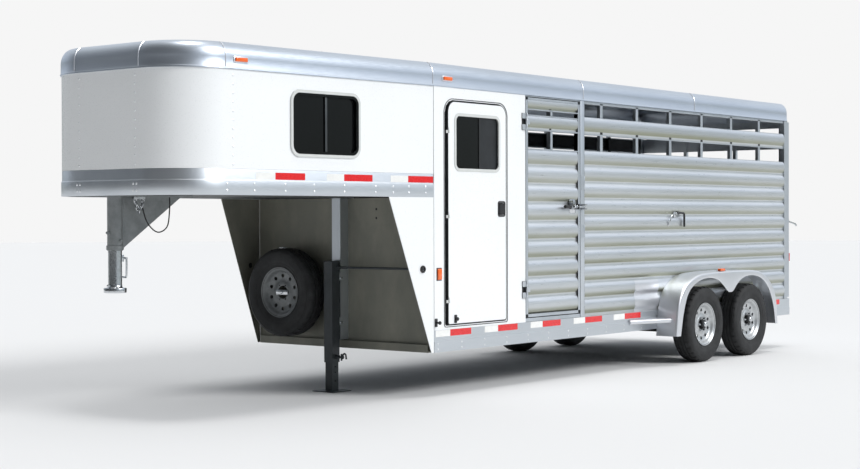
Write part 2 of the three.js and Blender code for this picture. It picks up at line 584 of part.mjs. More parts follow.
const stockSideLeft = union(
  stockWall(LATCH_POST.x1 - 8, STOCK_X1, POSTS),
  box(LATCH_POST.x0, LATCH_POST.x1, -HALF, postY[1] + 3, SIDE_Z0 + END_EASE, SIDE_Z1 - END_EASE),
  box(STOCK_X1 - 10, STOCK_X1 + REAR_POST, -HALF, postY[1] + 10, SIDE_Z0, SIDE_Z1),
  box(JAMB_X0, JAMB_X1, -HALF + SKIN + GAP, postY[1] + 10, SIDE_Z0, SIDE_Z1),
  box(JAMB_X0, LATCH_POST.x1, -HALF + SKIN + GAP, postY[1], SIDE_Z0, SDOOR.z0 - 6),
  box(JAMB_X0, LATCH_POST.x1, -HALF + SKIN + GAP, postY[1], SDOOR.z1 + 5, SIDE_Z1),
  jambKnuckles);
const RIGHT_POSTS = [1980, ...POSTS];
const hingeY = HALF - 12;
const GATE_HINGES = [820, 1590, 2380];
const gateAxis = { x: BOX_L + 6, y: hingeY };
const GATE_KNUCKLE_R = 10;
const gateFrameLeaves = GATE_HINGES.flatMap((z) => [
  knuckle(gateAxis, GATE_KNUCKLE_R, z - 75, 50),
  box(STOCK_X1 + 20, gateAxis.x, hingeY - 2, hingeY + 6, z - 75 + GAP, z - 25 - GAP)]);
const stockSideRight = union(gateFrameLeaves, mirrored(union(
  stockWall(JAMB_X1 + GAP + 30, STOCK_X1, RIGHT_POSTS),
  box(JAMB_X1 + GAP, JAMB_X1 + 50, -HALF, postY[1] + 3, SIDE_Z0 + END_EASE, SIDE_Z1 - END_EASE),
  box(STOCK_X1 - 10, STOCK_X1 + REAR_POST, -HALF, postY[1] + 10, SIDE_Z0 + END_EASE, SIDE_Z1 - END_EASE))));

// side door for the stock: tube frame, slats, two air gaps and the hinge leaves
const SD_GAP_HIGH = [2437, 2481];
const SD_GAP_LOW = [2131, 2297];
const SD_FRAME = 36;
const doorPosts = [[SDOOR.x0, SDOOR.x0 + SD_FRAME], [SDOOR.x1 - SD_FRAME, SDOOR.x1]];
const DOOR_MID = [1743, 1777];
const bracketX = [2064, 2138];
const latchBrackets = bracketX.map((x) => box(x, x + 8, rodY - 20, postY[0] + 10,
  LATCH_Z - 24, LATCH_Z + 24)
  .subtract(rod('x', 9.6, [x - 4, rodY, LATCH_Z], [x + 12, rodY, LATCH_Z])));
const doorLeaves = STOCK_HINGES.flatMap((z) => [
  knuckle(STOCK_AXIS, STOCK_KNUCKLE_R, z - 0.5 * leafThird, leafThird),
  box(STOCK_AXIS.x, STOCK_AXIS.x + 50, STOCK_AXIS.y + 3, STOCK_AXIS.y + 9,
    z - 0.5 * leafThird + GAP, z + 0.5 * leafThird - GAP),
  box(STOCK_AXIS.x + 18, STOCK_AXIS.x + 44, STOCK_AXIS.y + 4, postY[0] + 6,
    z - 0.5 * leafThird + GAP, z + 0.5 * leafThird - GAP)]);
const stockDoor = union(
  slabYZ(slatBand(SDOOR.z0, SD_GAP_LOW[0]), SDOOR.x0 + 4, SDOOR.x1 - 4),
  slabYZ(slatBand(SD_GAP_LOW[1], SD_GAP_HIGH[0]), SDOOR.x0 + 4, SDOOR.x1 - 4),
  slabYZ(slatBand(SD_GAP_HIGH[1], SDOOR.z1), SDOOR.x0 + 4, SDOOR.x1 - 4),
  box(SDOOR.x0, SDOOR.x1, -HALF, postY[1] - 4, SDOOR.z0, SDOOR.z0 + 30),
  box(SDOOR.x0, SDOOR.x1, -HALF, postY[1] - 4, SDOOR.z1 - 24, SDOOR.z1),
  doorPosts.map(([a, b]) => box(a, b, -HALF, postY[1] - 4, SDOOR.z0, SDOOR.z1)),
  box(...DOOR_MID, postY[0], postY[1] - 4, SD_GAP_LOW[0] - 10, SDOOR.z1 - 10),
  latchBrackets, doorLeaves);
const slamBolt = union(
  rod('x', 8, [2022, rodY, LATCH_Z], [2283, rodY, LATCH_Z]),
  rod('x', 14, [1930, rodY, LATCH_Z], [2030, rodY, LATCH_Z]),
  rod('x', 16, [2126, rodY, LATCH_Z], [2132, rodY, LATCH_Z]));

// ---------------------------------------------------------------- roof
const ROOF_WALL = 6;
const ROOF_IN = 86;
const roofRail = swept([
  [-ROOF_LIP, Z_ROOF_LOW], [-ROOF_LIP, Z_ROOF_LOW + 10], [0, Z_ROOF_LOW + 15], [0, Z_ROOF - 112],
  [9, Z_ROOF - 70], [27, Z_ROOF - 33], [54, Z_ROOF - 9], [ROOF_IN, Z_ROOF],
  [ROOF_IN, Z_ROOF - ROOF_WALL], [57, Z_ROOF - 16], [32, Z_ROOF - 38], [15, Z_ROOF - 72],
  [ROOF_WALL, Z_ROOF - 113], [ROOF_WALL, Z_ROOF_LOW],
], bodyLine, true);
const roofSheet = slabXY(bodyLine(ROOF_IN + GAP), Z_ROOF - ROOF_WALL, Z_ROOF - 2);

// ---------------------------------------------------------------- inside walls and gates
const BULK_X = 1244;
const BULK_DOOR = { y0: 150, y1: 800, z1: 2350 };
const bulkhead = slabYZ([
  [-HALF + 60, FLOOR_TOP + GAP], [HALF - 60, FLOOR_TOP + GAP],
  [HALF - 60, Z_ROOF_LOW - 8], [-HALF + 60, Z_ROOF_LOW - 8],
], BULK_X, BULK_X + 24).subtract(box(BULK_X - 5, BULK_X + 40, BULK_DOOR.y0, BULK_DOOR.y1,
  FLOOR_TOP + 60, BULK_DOOR.z1));

const rearIn = -postY[1] - 11;
const rearFrame = union(
  box(FRAME_X1 - POST_D, FRAME_X1, rearIn - POST_D, rearIn, SIDE_Z0, SIDE_Z1),
  box(FRAME_X1 - POST_D, FRAME_X1, -rearIn, -rearIn + POST_D, SIDE_Z0, SIDE_Z1),
  box(FRAME_X1 - POST_D, FRAME_X1, -rearIn, rearIn, SIDE_Z1 - 80, SIDE_Z1),
  box(FRAME_X1 - POST_D, FRAME_X1, -rearIn, rearIn, SIDE_Z0, SIDE_Z0 + 12));

const GATE = { x0: FRAME_X1 + 3, x1: BOX_L - 4, y0: -HALF + 6, y1: HALF - 34, z0: 575, z1: 2600 };
const gateFrame = slabYZ([
  [GATE.y0, GATE.z0], [GATE.y1, GATE.z0], [GATE.y1, GATE.z1], [GATE.y0, GATE.z1],
], GATE.x0, GATE.x1 - 2).subtract(box(GATE.x0 - 5, GATE.x1 + 5, GATE.y0 + 50, GATE.y1 - 50,
  GATE.z0 + 50, GATE.z1 - 50));
const gateSheet = box(GATE.x1 - 8, GATE.x1 - 3, GATE.y0 + 20, GATE.y1 - 20, GATE.z0 + 20, ROW_LOW[0]);
const gateBars = [[ROW_LOW[0] - 30, ROW_LOW[0] + 10], [ROW_LOW[1], ROW_HIGH[0]]].map(([a, b]) => box(
  GATE.x0 + 12, GATE.x1 - 3, GATE.y0 + 20, GATE.y1 - 20, a, b));
const gatePosts = [-330, 330].map((y) => box(GATE.x0, GATE.x1 - 4, y - 20, y + 20,
  GATE.z0 + 20, GATE.z1 - 20));
const gateLeaves = GATE_HINGES.flatMap((z) => [
  knuckle(gateAxis, GATE_KNUCKLE_R, z - 25, 50),
  box(GATE.x1 - 5, gateAxis.x, hingeY - 52, hingeY, z - 25 + GAP, z + 25 - GAP)]);
const LATCH_AT = { x: BOX_L + 10, y: GATE.y0 + 24, z: 1455 };
const latchEars = [-14, 8].map((dy) => box(GATE.x1 - 5, LATCH_AT.x + 12,
  LATCH_AT.y + dy, LATCH_AT.y + dy + 6, LATCH_AT.z - 20, LATCH_AT.z + 20));
const rearGate = union(gateFrame, gateSheet, gateBars, gatePosts, gateLeaves, latchEars)
  .subtract(rod('y', 6.5, [LATCH_AT.x, LATCH_AT.y - 30, LATCH_AT.z],
    [LATCH_AT.x, LATCH_AT.y + 30, LATCH_AT.z]));
const latchTip = BOX_L + LATCH_REACH;
const gateLatch = union(
  rod('y', 6, [LATCH_AT.x, LATCH_AT.y - 22, LATCH_AT.z], [LATCH_AT.x, LATCH_AT.y + 22, LATCH_AT.z]),
  slabXZ([[LATCH_AT.x - 6, LATCH_AT.z + 8], [latchTip - 30, LATCH_AT.z - 26],
    [latchTip, LATCH_AT.z - 44], [latchTip - 4, LATCH_AT.z - 62],
    [latchTip - 46, LATCH_AT.z - 40], [LATCH_AT.x - 6, LATCH_AT.z - 8]],
  LATCH_AT.y - 7.5, LATCH_AT.y + 7.5));

const CENTER = { x: 4060, y: HALF - 90, z0: FLOOR_TOP + 60, z1: 2060 };
const CENTER_W = 2 * (HALF - 90) - 30;
const centerFrame = box(...half(CENTER.x, 36), CENTER.y - CENTER_W, CENTER.y, CENTER.z0, CENTER.z1)
  .subtract(box(CENTER.x - 40, CENTER.x + 40, CENTER.y - CENTER_W + 40, CENTER.y - 40,
    CENTER.z0 + 40, CENTER.z1 - 40));
const centerGate = union(centerFrame,
  Array.from({ length: 4 }, (_, i) => {
    const z = CENTER.z0 + 40 + ((CENTER.z1 - CENTER.z0 - 80) * (i + 1)) / 5;
    return box(...half(CENTER.x, 24), CENTER.y - CENTER_W + 20, CENTER.y - 20, z - 18, z + 18);
  }));

// ---------------------------------------------------------------- fenders and steps
const fenderTop = [
  [3650, 300], [3672, 450], [3702, 620], [3770, 740], [3880, 830], [4040, 892], [4250, 926],
  [4805, 936], [5360, 926], [5560, 886], [5720, 806], [5830, 700], [5892, 560], [5920, 318],
];
const fenderArch = [
  [5862, 318], [5812, 532], [5690, 728], [5520, 838], [5310, 876], [5090, 858], [4950, 790],
  [4862, 724], [4805, 712], [4748, 724], [4660, 784], [4520, 852], [4300, 876], [4080, 838],
  [3900, 735], [3800, 545], [3738, 300],
];
const FENDER_T = 4;
const fenderInner = fenderTop.map(([x, z], i) => {
  const [ax, az] = fenderTop[Math.max(i - 1, 0)];
  const [bx, bz] = fenderTop[Math.min(i + 1, fenderTop.length - 1)];
  const l = Math.hypot(bx - ax, bz - az);
  return [x + (FENDER_T * (bz - az)) / l, z - (FENDER_T * (bx - ax)) / l];
});
const FENDER_IN = HALF + 1;
const fender = union(
  slabXZ([...fenderTop, ...[...fenderInner].reverse()], -FENDER_OUT, -FENDER_IN),
  slabXZ([...fenderTop, ...fenderArch], -FENDER_OUT, -FENDER_OUT + FENDER_T));
const STEP_Z = [436, 486];
const step = slabXY([
  [3125, -HALF - 1], [3125, -HALF - 20], [3645, -HALF - 178], [3662, -HALF - 150],
  [3662, -HALF - 1],
], ...STEP_Z);

// ---------------------------------------------------------------- wheels
// profiles in (radius, distance in from the outer sidewall)
const tyreProfile = [
  [209.5, 27], [228, 25.5], [262, 6], [325, 0], [374, 16], [TYRE_R, 40], [TYRE_R, TYRE_W - 40],
  [374, TYRE_W - 16], [325, TYRE_W], [262, TYRE_W - 6], [228, TYRE_W - 25.5],
  [209.5, TYRE_W - 27], [209.5, TYRE_W - 40], [366, TYRE_W - 24], [366, 24], [209.5, 40],
];
const rimProfile = [
  [56, 62], [176, 62], [202, 28], [222, 19], [222, 24.6], [206, 27], [206, 188],
  [222, 190.4], [222, 196], [199, 196], [199, 116], [180, 69], [56, 69],
];
const HAND_HOLES = 10;
const HAND_R = 17;
const HAND_AT = 146;
const turned = (profile, sides, growth = 1) => {
  const points = profile.map(([r, w]) => new THREE.Vector2(r * growth, w));
  points.push(points[0].clone());
  return solid(new THREE.LatheGeometry(points, sides).rotateY(Math.PI / sides));
};
const tyreRing = turned(tyreProfile, TYRE_SIDES, 1 / Math.cos(Math.PI / TYRE_SIDES));
const RIM_SIDES = 16;
const rimRing = Array.from({ length: HAND_HOLES }, (_, i) => {
  const a = (2 * Math.PI * (i + 0.5)) / HAND_HOLES;
  const [x, z] = [HAND_AT * Math.cos(a), HAND_AT * Math.sin(a)];
  return rod('y', HAND_R, [x, 40, z], [x, 100, z], 6);
}).reduce((rim, hole) => rim.subtract(hole), turned(rimProfile, RIM_SIDES));
const hubBody = union(
  rod('y', 28, [0, 4, 0], [0, 30, 0], 10),
  rod('y', HUB_R, [0, 26, 0], [0, 150, 0], 10),
  rod('y', 84, [0, 69.4, 0], [0, 80, 0], 10))
  .subtract(rod('y', SPINDLE_R + 1.5, [0, 60, 0], [0, 170, 0], 10));
const nearSide = (part, x) => part.translate([x, -WHEEL_OUT, TYRE_R]);
const farSide = (part, x) => mirrored(nearSide(part, x));
const asSpare = (part) => part.rotate([0, 0, -90])
  .translate([SPARE.back - TYRE_W, SPARE.y, SPARE.z]);

// ---------------------------------------------------------------- assembly
const group = new THREE.Group();
group.name = 'livestock_trailer';
const FINISH = {
  aluminium: [0xb9c0c6, 0.35, 0.9],
  bright: [0xd4d8dc, 0.22, 0.95],
  white: [0xf0f2f3, 0.45, 0],
  grey: [0x8a8d86, 0.7, 0],
  deck: [0x8f9499, 0.6, 0.8],
  dark: [0x34383b, 0.55, 0.4],
  steel: [0x9ba0a3, 0.4, 0.9],
  chrome: [0xdfe3e6, 0.1, 1],
  rubber: [0x17181a, 0.85, 0],
  black: [0x111214, 0.5, 0],
  glass: [0x14181b, 0.08, 0],
};

function add(name, part, finish) {
  const placed = part.translate([KINK_X, 0, 0]);
  const mesh = placed.getMesh();
  const geometry = new THREE.BufferGeometry();
  geometry.setAttribute('position', new THREE.BufferAttribute(
    Float32Array.from(mesh.vertProperties), 3));
  geometry.setIndex(new THREE.BufferAttribute(Uint32Array.from(mesh.triVerts), 1));
  geometry.computeVertexNormals();
  const [color, roughness, metalness] = FINISH[finish];
  const item = new THREE.Mesh(geometry, new THREE.MeshStandardMaterial({
    color, roughness, metalness, flatShading: true,
  }));
  item.name = name;
  group.add(item);
}

add('chassis', chassis, 'aluminium');
add('floor', floor, 'deck');
add('base_rail_left', baseRail, 'aluminium');
add('base_rail_right', mirrored(baseRail), 'aluminium');
add('nose_floor', noseFloor, 'deck');
add('nose_rail', noseRail, 'aluminium');
add('nose_shell', noseShell, 'white');
add('nose_window_frame', windowFrame, 'white');
add('nose_window_glass', noseGlass, 'glass');
add('nose_window_slider', noseSlider, 'glass');
add('front_wall', frontWall, 'grey');
add('riser_left', riserPanel, 'white');
add('riser_right', mirrored(riserPanel), 'white');
add('jack_channel', jackChannel, 'aluminium');
add('front_side_left', frontSideLeftCut, 'white');
add('front_side_right', frontSideRight, 'white');
add('entry_frame', entryFrameFull, 'white');
add('entry_door', entryDoor, 'white');
add('entry_glass', entryGlass, 'glass');
add('entry_slider', entrySlider, 'glass');
add('entry_paddle', entryPaddle, 'black');
add('stock_side_left', stockSideLeft, 'aluminium');
add('stock_side_right', stockSideRight, 'aluminium');
add('stock_door', stockDoor, 'aluminium');
add('door_keeper', keeper, 'chrome');
add('slam_bolt', slamBolt, 'chrome');
add('bulkhead', bulkhead, 'aluminium');
add('center_gate', centerGate, 'aluminium');
add('rear_frame', rearFrame, 'aluminium');
add('rear_gate', rearGate, 'aluminium');
add('gate_latch', gateLatch, 'chrome');
add('roof_rail', roofRail, 'aluminium');
add('roof_sheet', roofSheet, 'aluminium');
add('fender_left', fender, 'bright');
add('fender_right', mirrored(fender), 'bright');
add('step_left', step, 'bright');
add('jack_tube', jackTube, 'dark');
add('jack_leg', jackLeg, 'dark');
add('jack_pin', jackPin, 'steel');
add('jack_crank', jackCrank, 'black');
add('coupler_neck', couplerNeck, 'grey');
add('coupler_tube', couplerTube, 'grey');
add('coupler_handle', couplerHandle, 'chrome');
add('breakaway_cable', cable, 'black');
add('spare_tyre', asSpare(tyreRing), 'rubber');
add('spare_rim', asSpare(rimRing), 'steel');
WHEEL_X.forEach((x, i) => {
  const pair = ['front', 'rear'][i];
  add(`axle_${pair}`, axleAt(x), 'dark');
  for (const [side, place] of [['left', nearSide], ['right', farSide]]) {
    add(`tyre_${pair}_${side}`, place(tyreRing, x), 'rubber');
    add(`rim_${pair}_${side}`, place(rimRing, x), 'steel');
    add(`hub_${pair}_${side}`, place(hubBody, x), 'black');
  }
});

export default group;
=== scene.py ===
"""Gooseneck livestock trailer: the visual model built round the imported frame.

Lengths are metres. Along the trailer they are counted from the joint between the tapered
nose and the straight box, and JOINT_X moves them into the row frame. -Y is the road side.
"""

import logging
import math
import random
from dataclasses import dataclass, field
from enum import Enum
from typing import Callable, Dict, List, Optional, Sequence, Tuple

import bmesh
import bpy
from mathutils import Matrix, Vector


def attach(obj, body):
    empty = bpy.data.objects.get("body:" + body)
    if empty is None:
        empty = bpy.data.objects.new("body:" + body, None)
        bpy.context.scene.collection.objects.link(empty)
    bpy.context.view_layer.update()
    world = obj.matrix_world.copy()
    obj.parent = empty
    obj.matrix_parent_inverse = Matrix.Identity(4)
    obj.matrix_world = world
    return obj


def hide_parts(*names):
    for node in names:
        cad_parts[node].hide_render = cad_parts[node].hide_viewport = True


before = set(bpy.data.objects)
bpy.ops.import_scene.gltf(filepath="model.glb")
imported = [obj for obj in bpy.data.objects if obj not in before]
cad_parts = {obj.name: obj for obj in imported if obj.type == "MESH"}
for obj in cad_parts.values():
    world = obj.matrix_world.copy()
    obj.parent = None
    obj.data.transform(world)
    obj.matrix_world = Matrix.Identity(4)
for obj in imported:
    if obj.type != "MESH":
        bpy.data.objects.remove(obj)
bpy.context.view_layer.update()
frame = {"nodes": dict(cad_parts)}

logging.basicConfig(level=logging.INFO, format="%(message)s")
LOG = logging.getLogger("livestock_trailer")

Point = Tuple[float, float, float]
Flat = Tuple[float, float]
Thing = bpy.types.Object

JOINT_X = -2.1255
HALF = 1.015
BOX_L = 6.695
NOSE_L = 2.679
TAPER = math.radians(4.81)
CORNER_R = 0.474
CORNER_X = CORNER_R - NOSE_L
CORNER_Y = -(HALF - CORNER_R / math.cos(TAPER) + CORNER_X * math.tan(TAPER))
Z_RAIL = 0.371
Z_RAIL_TOP = 0.558
Z_NOSE = 1.677
Z_NOSE_TOP = 1.873
Z_ROOF_LOW = 2.611
Z_ROOF = 2.815
TYRE_R = 0.391
TYRE_W = 0.215
WHEEL_X = (4.300, 5.310)
WHEEL_OUT = HALF + 0.010 + TYRE_W


class Side(Enum):
    """Which side of the trailer a piece is on."""

    ROAD = -1
    KERB = 1


def place(x: float, y: float, z: float) -> Vector:
    """Point in the row frame from lengths counted from the nose joint."""
    return Vector((JOINT_X + x, y, z))


def linear(hex_code: str) -> Tuple[float, float, float, float]:
    """Linear colour with full alpha from an sRGB hex value.

    Args:
        hex_code: Six hex digits.

    Returns:
        Red, green, blue and alpha.
    """
    channels = [int(hex_code[i:i + 2], 16) / 255 for i in (0, 2, 4)]
    return tuple(
        c / 12.92 if c <= 0.04045 else ((c + 0.055) / 1.055) ** 2.4 for c in channels
    ) + (1.0,)


# ------------------------------------------------------------------ finishes


def add_node(
    tree: bpy.types.NodeTree, kind: str, inputs: Optional[dict] = None, **settings: object
) -> bpy.types.Node:
    """Add a node with its settings, values and links.

    Args:
        tree: The tree it goes in.
        kind: The node's type name.
        inputs: Socket name or number to a value or to the socket that feeds it.
        **settings: Properties of the node.

    Returns:
        The new node.
    """
    made = tree.nodes.new(kind)
    for name, value in settings.items():
        setattr(made, name, value)
    for socket, value in (inputs or {}).items():
        if isinstance(value, bpy.types.NodeSocket):
            tree.links.new(value, made.inputs[socket])
        else:
            made.inputs[socket].default_value = value
    return made


@dataclass(frozen=True)
class Finish:
    """A surface finish: colours, gloss, and the real size of its grain and patches."""

    name: str
    slot: str
    colour: str
    worn: str
    metallic: float = 0.0
    roughness: float = 0.4
    rough_swing: float = 0.08
    grain_mm: float = 3.0
    run: Point = (1.0, 1.0, 1.0)
    patch_mm: float = 400.0
    patch: float = 0.5
    speck: float = 0.0
    bump_mm: float = 0.1
    coat: float = 0.0
    ior: float = 1.5
    transmission: float = 0.0
    # painted reflection of olive ground and painted shade on each slat's lower face: (lowest height, pitch),
    # then its colour
    painted_reflection_bands: Optional[Tuple[float, float]] = None
    painted_reflection_colour: str = "86886c"

    def material(self) -> bpy.types.Material:
        """Build the node material once and return it."""
        found = bpy.data.materials.get(self.name)
        if found:
            return found
        made = bpy.data.materials.new(self.name)
        made.use_nodes = True
        tree = made.node_tree
        shader = tree.nodes["Principled BSDF"]
        where = add_node(tree, "ShaderNodeTexCoord").outputs["Object"]
        grain_at = add_node(
            tree, "ShaderNodeMapping", {"Vector": where, "Scale": self.run}
        ).outputs[0]
        grain = add_node(tree, "ShaderNodeTexNoise", {
            "Vector": grain_at, "Scale": 1000 / self.grain_mm, "Detail": 3.0,
        }).outputs[0]
        patch_at = add_node(tree, "ShaderNodeMapping", {
            "Vector": where, "Location": (0.37, 1.9, 0.6), "Scale": tuple(s ** 0.5 for s in self.run),
        }).outputs[0]
        patches = add_node(tree, "ShaderNodeTexNoise", {
            "Vector": patch_at, "Scale": 1000 / self.patch_mm, "Detail": 5.0, "Roughness": 0.6,
        }).outputs[0]
        spread = add_node(tree, "ShaderNodeMapRange", {
            "Value": patches, "From Min": 0.38, "From Max": 0.72, "To Max": self.patch,
        }).outputs[0]
        colour = add_node(tree, "ShaderNodeMix", {
            0: spread, 6: linear(self.colour), 7: linear(self.worn),
        }, data_type="RGBA").outputs[2]
        if self.speck:
            flecks = add_node(tree, "ShaderNodeMapRange", {
                "Value": grain, "From Min": 0.60, "From Max": 0.74, "To Max": self.speck,
            }).outputs[0]
            colour = add_node(tree, "ShaderNodeMix", {
                0: flecks, 6: colour, 7: linear(self.worn),
            }, data_type="RGBA").outputs[2]
        # painted reflection of the ground and painted shade on the lower face of each slat
        if self.painted_reflection_bands:
            colour = self.painted_reflection(tree, where, patches, colour)
        tree.links.new(colour, shader.inputs["Base Color"])
        rough = add_node(tree, "ShaderNodeMapRange", {
            "Value": grain, "From Min": 0.3, "From Max": 0.7,
            "To Min": max(self.roughness - self.rough_swing, 0.02),
            "To Max": self.roughness + self.rough_swing,
        }).outputs[0]
        tree.links.new(rough, shader.inputs["Roughness"])
        bump = add_node(tree, "ShaderNodeBump", {
            "Height": grain, "Strength": 0.35, "Distance": self.bump_mm / 1000,
        }).outputs[0]
        tree.links.new(bump, shader.inputs["Normal"])
        shader.inputs["Metallic"].default_value = self.metallic
        shader.inputs["IOR"].default_value = self.ior
        shader.inputs["Coat Weight"].default_value = self.coat
        shader.inputs["Transmission Weight"].default_value = self.transmission
        return made

    def painted_reflection(
        self,
        tree: bpy.types.NodeTree,
        where: bpy.types.NodeSocket,
        patches: bpy.types.NodeSocket,
        colour: bpy.types.NodeSocket,
    ) -> bpy.types.NodeSocket:
        """Paint a reflection of olive ground, and shade, onto the down-facing lower part of each slat.

        Args:
            tree: The material's tree.
            where: Object coordinates.
            patches: Noise that makes the painted reflection uneven.
            colour: The colour without the painted reflection.

        Returns:
            The colour with the painted reflection and shade on it.
        """
        low, pitch = self.painted_reflection_bands
        height = add_node(tree, "ShaderNodeSeparateXYZ", {0: where}).outputs[2]
        above = add_node(
            tree, "ShaderNodeMath", {0: height, 1: low}, operation="SUBTRACT"
        ).outputs[0]
        turns = add_node(
            tree, "ShaderNodeMath", {0: above, 1: pitch}, operation="DIVIDE"
        ).outputs[0]
        share = add_node(tree, "ShaderNodeMath", {0: turns}, operation="FRACT").outputs[0]
        # strength by height within one pitch: strongest painted reflection and shade on the down-facing lower
        # face
        ramp = add_node(tree, "ShaderNodeValToRGB", {0: share})
        stops = ramp.color_ramp.elements
        stops[0].position, stops[0].color = 0.0, (0.30, 0.30, 0.30, 1)
        stops[1].position, stops[1].color = 1.0, (0.0, 0.0, 0.0, 1)
        for at, level in ((0.17, 0.22), (0.21, 0.95), (0.36, 0.85), (0.52, 0.25), (0.8, 0.0)):
            stop = stops.new(at)
            stop.color = (level, level, level, 1)
        uneven = add_node(tree, "ShaderNodeMapRange", {
            "Value": patches, "From Min": 0.3, "From Max": 0.7, "To Min": 0.65, "To Max": 1.0,
        }).outputs[0]
        amount = add_node(
            tree, "ShaderNodeMath", {0: ramp.outputs[0], 1: uneven}, operation="MULTIPLY"
        ).outputs[0]
        return add_node(tree, "ShaderNodeMix", {
            0: amount, 6: colour, 7: linear(self.painted_reflection_colour),
        }, data_type="RGBA").outputs[2]


# extruded aluminium, mill finish: pale grey with long die lines and soft dull patches
MILL = Finish("mill_aluminium_extruded", "mill_aluminium", "d3d8dd", "b4bbc2", 0.92, 0.36,
              0.07, 4, (0.03, 1, 1), 500, 0.5, bump_mm=0.06)
# the same extrusion on upright posts and door edges, so its die lines run up
MILL_UPRIGHT = Finish("mill_aluminium_upright", "mill_aluminium", "ccd2d8", "aab1b8", 0.9, 0.36,
                      0.07, 4, (1, 1, 0.03), 400, 0.5, bump_mm=0.06)
# roof cap extrusion: a little bluer and glossier, washed by rain
ROOF_CAP = Finish("roof_aluminium_extruded", "mill_aluminium", "ccd4de", "adb6c2", 0.92, 0.34,
                  0.06, 5, (0.03, 1, 1), 700, 0.45, bump_mm=0.05)
# cast nose corners: satin, with a fine sand texture
CAST = Finish("aluminium_nose_cast", "mill_aluminium", "c6cdd4", "a4abb3", 0.9, 0.38,
              0.08, 7, (1, 1, 0.25), 260, 0.55, bump_mm=0.15)
# aluminium inside the stock room, coloured near black: painted shade of the dim inside seen through the air
# gaps
STOCK_ROOM_SHADE = Finish("stock_room_painted_shade", "mill_aluminium", "24262a", "3a3c3d", 0.2, 0.7,
                0.08, 12, (1, 1, 1), 350, 0.6, bump_mm=0.3)
# deck plank with rubber mat dust
DECK = Finish("deck_aluminium_plank", "deck_aluminium", "6f7274", "4c4d4b", 0.6, 0.6,
              0.1, 10, (0.05, 1, 1), 300, 0.8, bump_mm=0.3)
# rolled bright sheet: clear soft reflections, faint roller lines
BRIGHT = Finish("bright_aluminium_rolled", "bright_aluminium", "e2e4e8", "cfd2d8", 0.88, 0.33,
                0.03, 14, (0.03, 1, 0.1), 600, 0.4, bump_mm=0.006)
# prepainted gloss white skin: faint orange peel and a light dust
WHITE = Finish("white_prepainted_skin", "white_skin", "f1f3f4", "e9ebec", 0.0, 0.3,
               0.05, 9, (1, 1, 1), 900, 0.35, bump_mm=0.05, coat=0.25)
# powder-coated light grey window and door surrounds
SURROUND = Finish("grey_powder_surround", "frame_paint", "d3d5d3", "b9bcba", 0.0, 0.42,
                  0.06, 2.5, (1, 1, 1), 180, 0.45, bump_mm=0.08, coat=0.1)
# satin grey sheet of the front wall, scuffed in arcs and dusty
WALL_GREY = Finish("grey_sheet_wall", "grey_paint", "77776e", "8d8c80", 0.25, 0.5,
                   0.1, 6, (1, 1, 0.3), 240, 0.75, speck=0.25, bump_mm=0.12)
# grey painted coupler steel with chips
COUPLER_GREY = Finish("grey_painted_steel", "grey_paint", "8b8f90", "6d7172", 0.35, 0.42,
                      0.1, 4, (1, 1, 1), 60, 0.6, speck=0.35, bump_mm=0.15)
# dark powder coat of the jack: satin, fine texture
JACK = Finish("dark_powder_coat", "jack_paint", "3d4245", "2c3033", 0.2, 0.45,
              0.08, 1.8, (1, 1, 1), 120, 0.6, speck=0.2, bump_mm=0.12)
# black chassis paint on the axles
AXLE = Finish("black_chassis_paint", "axle_paint", "17181a", "2b2a27", 0.1, 0.55,
              0.1, 4, (1, 1, 1), 90, 0.6, bump_mm=0.2)
# silver wheel paint: metallic flake under a clear coat, dust in the dish
WHEEL_SILVER = Finish("silver_wheel_paint", "wheel_steel", "c3c6c8", "9c9fa0", 0.75, 0.34,
                      0.07, 1.5, (1, 1, 1), 50, 0.6, speck=0.2, bump_mm=0.04, coat=0.4)
# the spare's wheel has weathered to a flat grey
SPARE_GREY = Finish("spare_wheel_paint", "wheel_steel", "7e8182", "5f6263", 0.5, 0.45,
                    0.08, 2, (1, 1, 1), 60, 0.7, speck=0.3, bump_mm=0.06)
HUB_BLACK = Finish("black_hub_casting", "hub_black", "101113", "232426", 0.1, 0.4,
                   0.08, 2, (1, 1, 1), 30, 0.6, bump_mm=0.1)
# zinc and chrome plate on latches, bolts and nuts
PLATED = Finish("zinc_chrome_plate", "plated_steel", "d9dcdf", "a9adb1", 1.0, 0.2,
                0.08, 1.2, (1, 1, 1), 25, 0.5, bump_mm=0.04)
# bright drawn-aluminium rivet heads
RIVET = Finish("rivet_heads_drawn", "plated_steel", "f1f3f5", "c9cdd1", 0.75, 0.3,
               0.06, 2, (1, 1, 1), 200, 0.5, bump_mm=0.03)
BLACK_MOULDED = Finish("black_moulded_plastic", "black_plastic", "121315", "232528", 0.0, 0.42,
                       0.08, 1.2, (1, 1, 1), 40, 0.5, bump_mm=0.08)
SHEATH = Finish("black_cable_sheath", "cable_sheath", "0d0d0e", "1e1e20", 0.0, 0.5,
                0.08, 1.5, (1, 1, 1), 40, 0.5, bump_mm=0.1)
# tyre rubber: charcoal, dusty towards the rim
RUBBER = Finish("tyre_rubber_moulded", "tyre_rubber", "191a1b", "303133", 0.0, 0.72,
                0.1, 2.2, (1, 1, 1), 70, 0.65, bump_mm=0.25)
# dark rubber gasket; also the dark ring that paints the shadow line round the entry door surround
GASKET_AND_SHADOW_LINE = Finish("rubber_gasket_and_painted_shadow", "black_plastic", "2b2d2f", "45484a", 0.0, 0.6,
                0.08, 1.5, (1, 1, 1), 60, 0.5, bump_mm=0.1)
# dark tinted safety glass
TINT = Finish("tinted_window_glass", "dark_glass", "040506", "0a0c0e", 0.0, 0.06,
              0.02, 40, (1, 1, 1), 500, 0.6, bump_mm=0.02, ior=1.45)
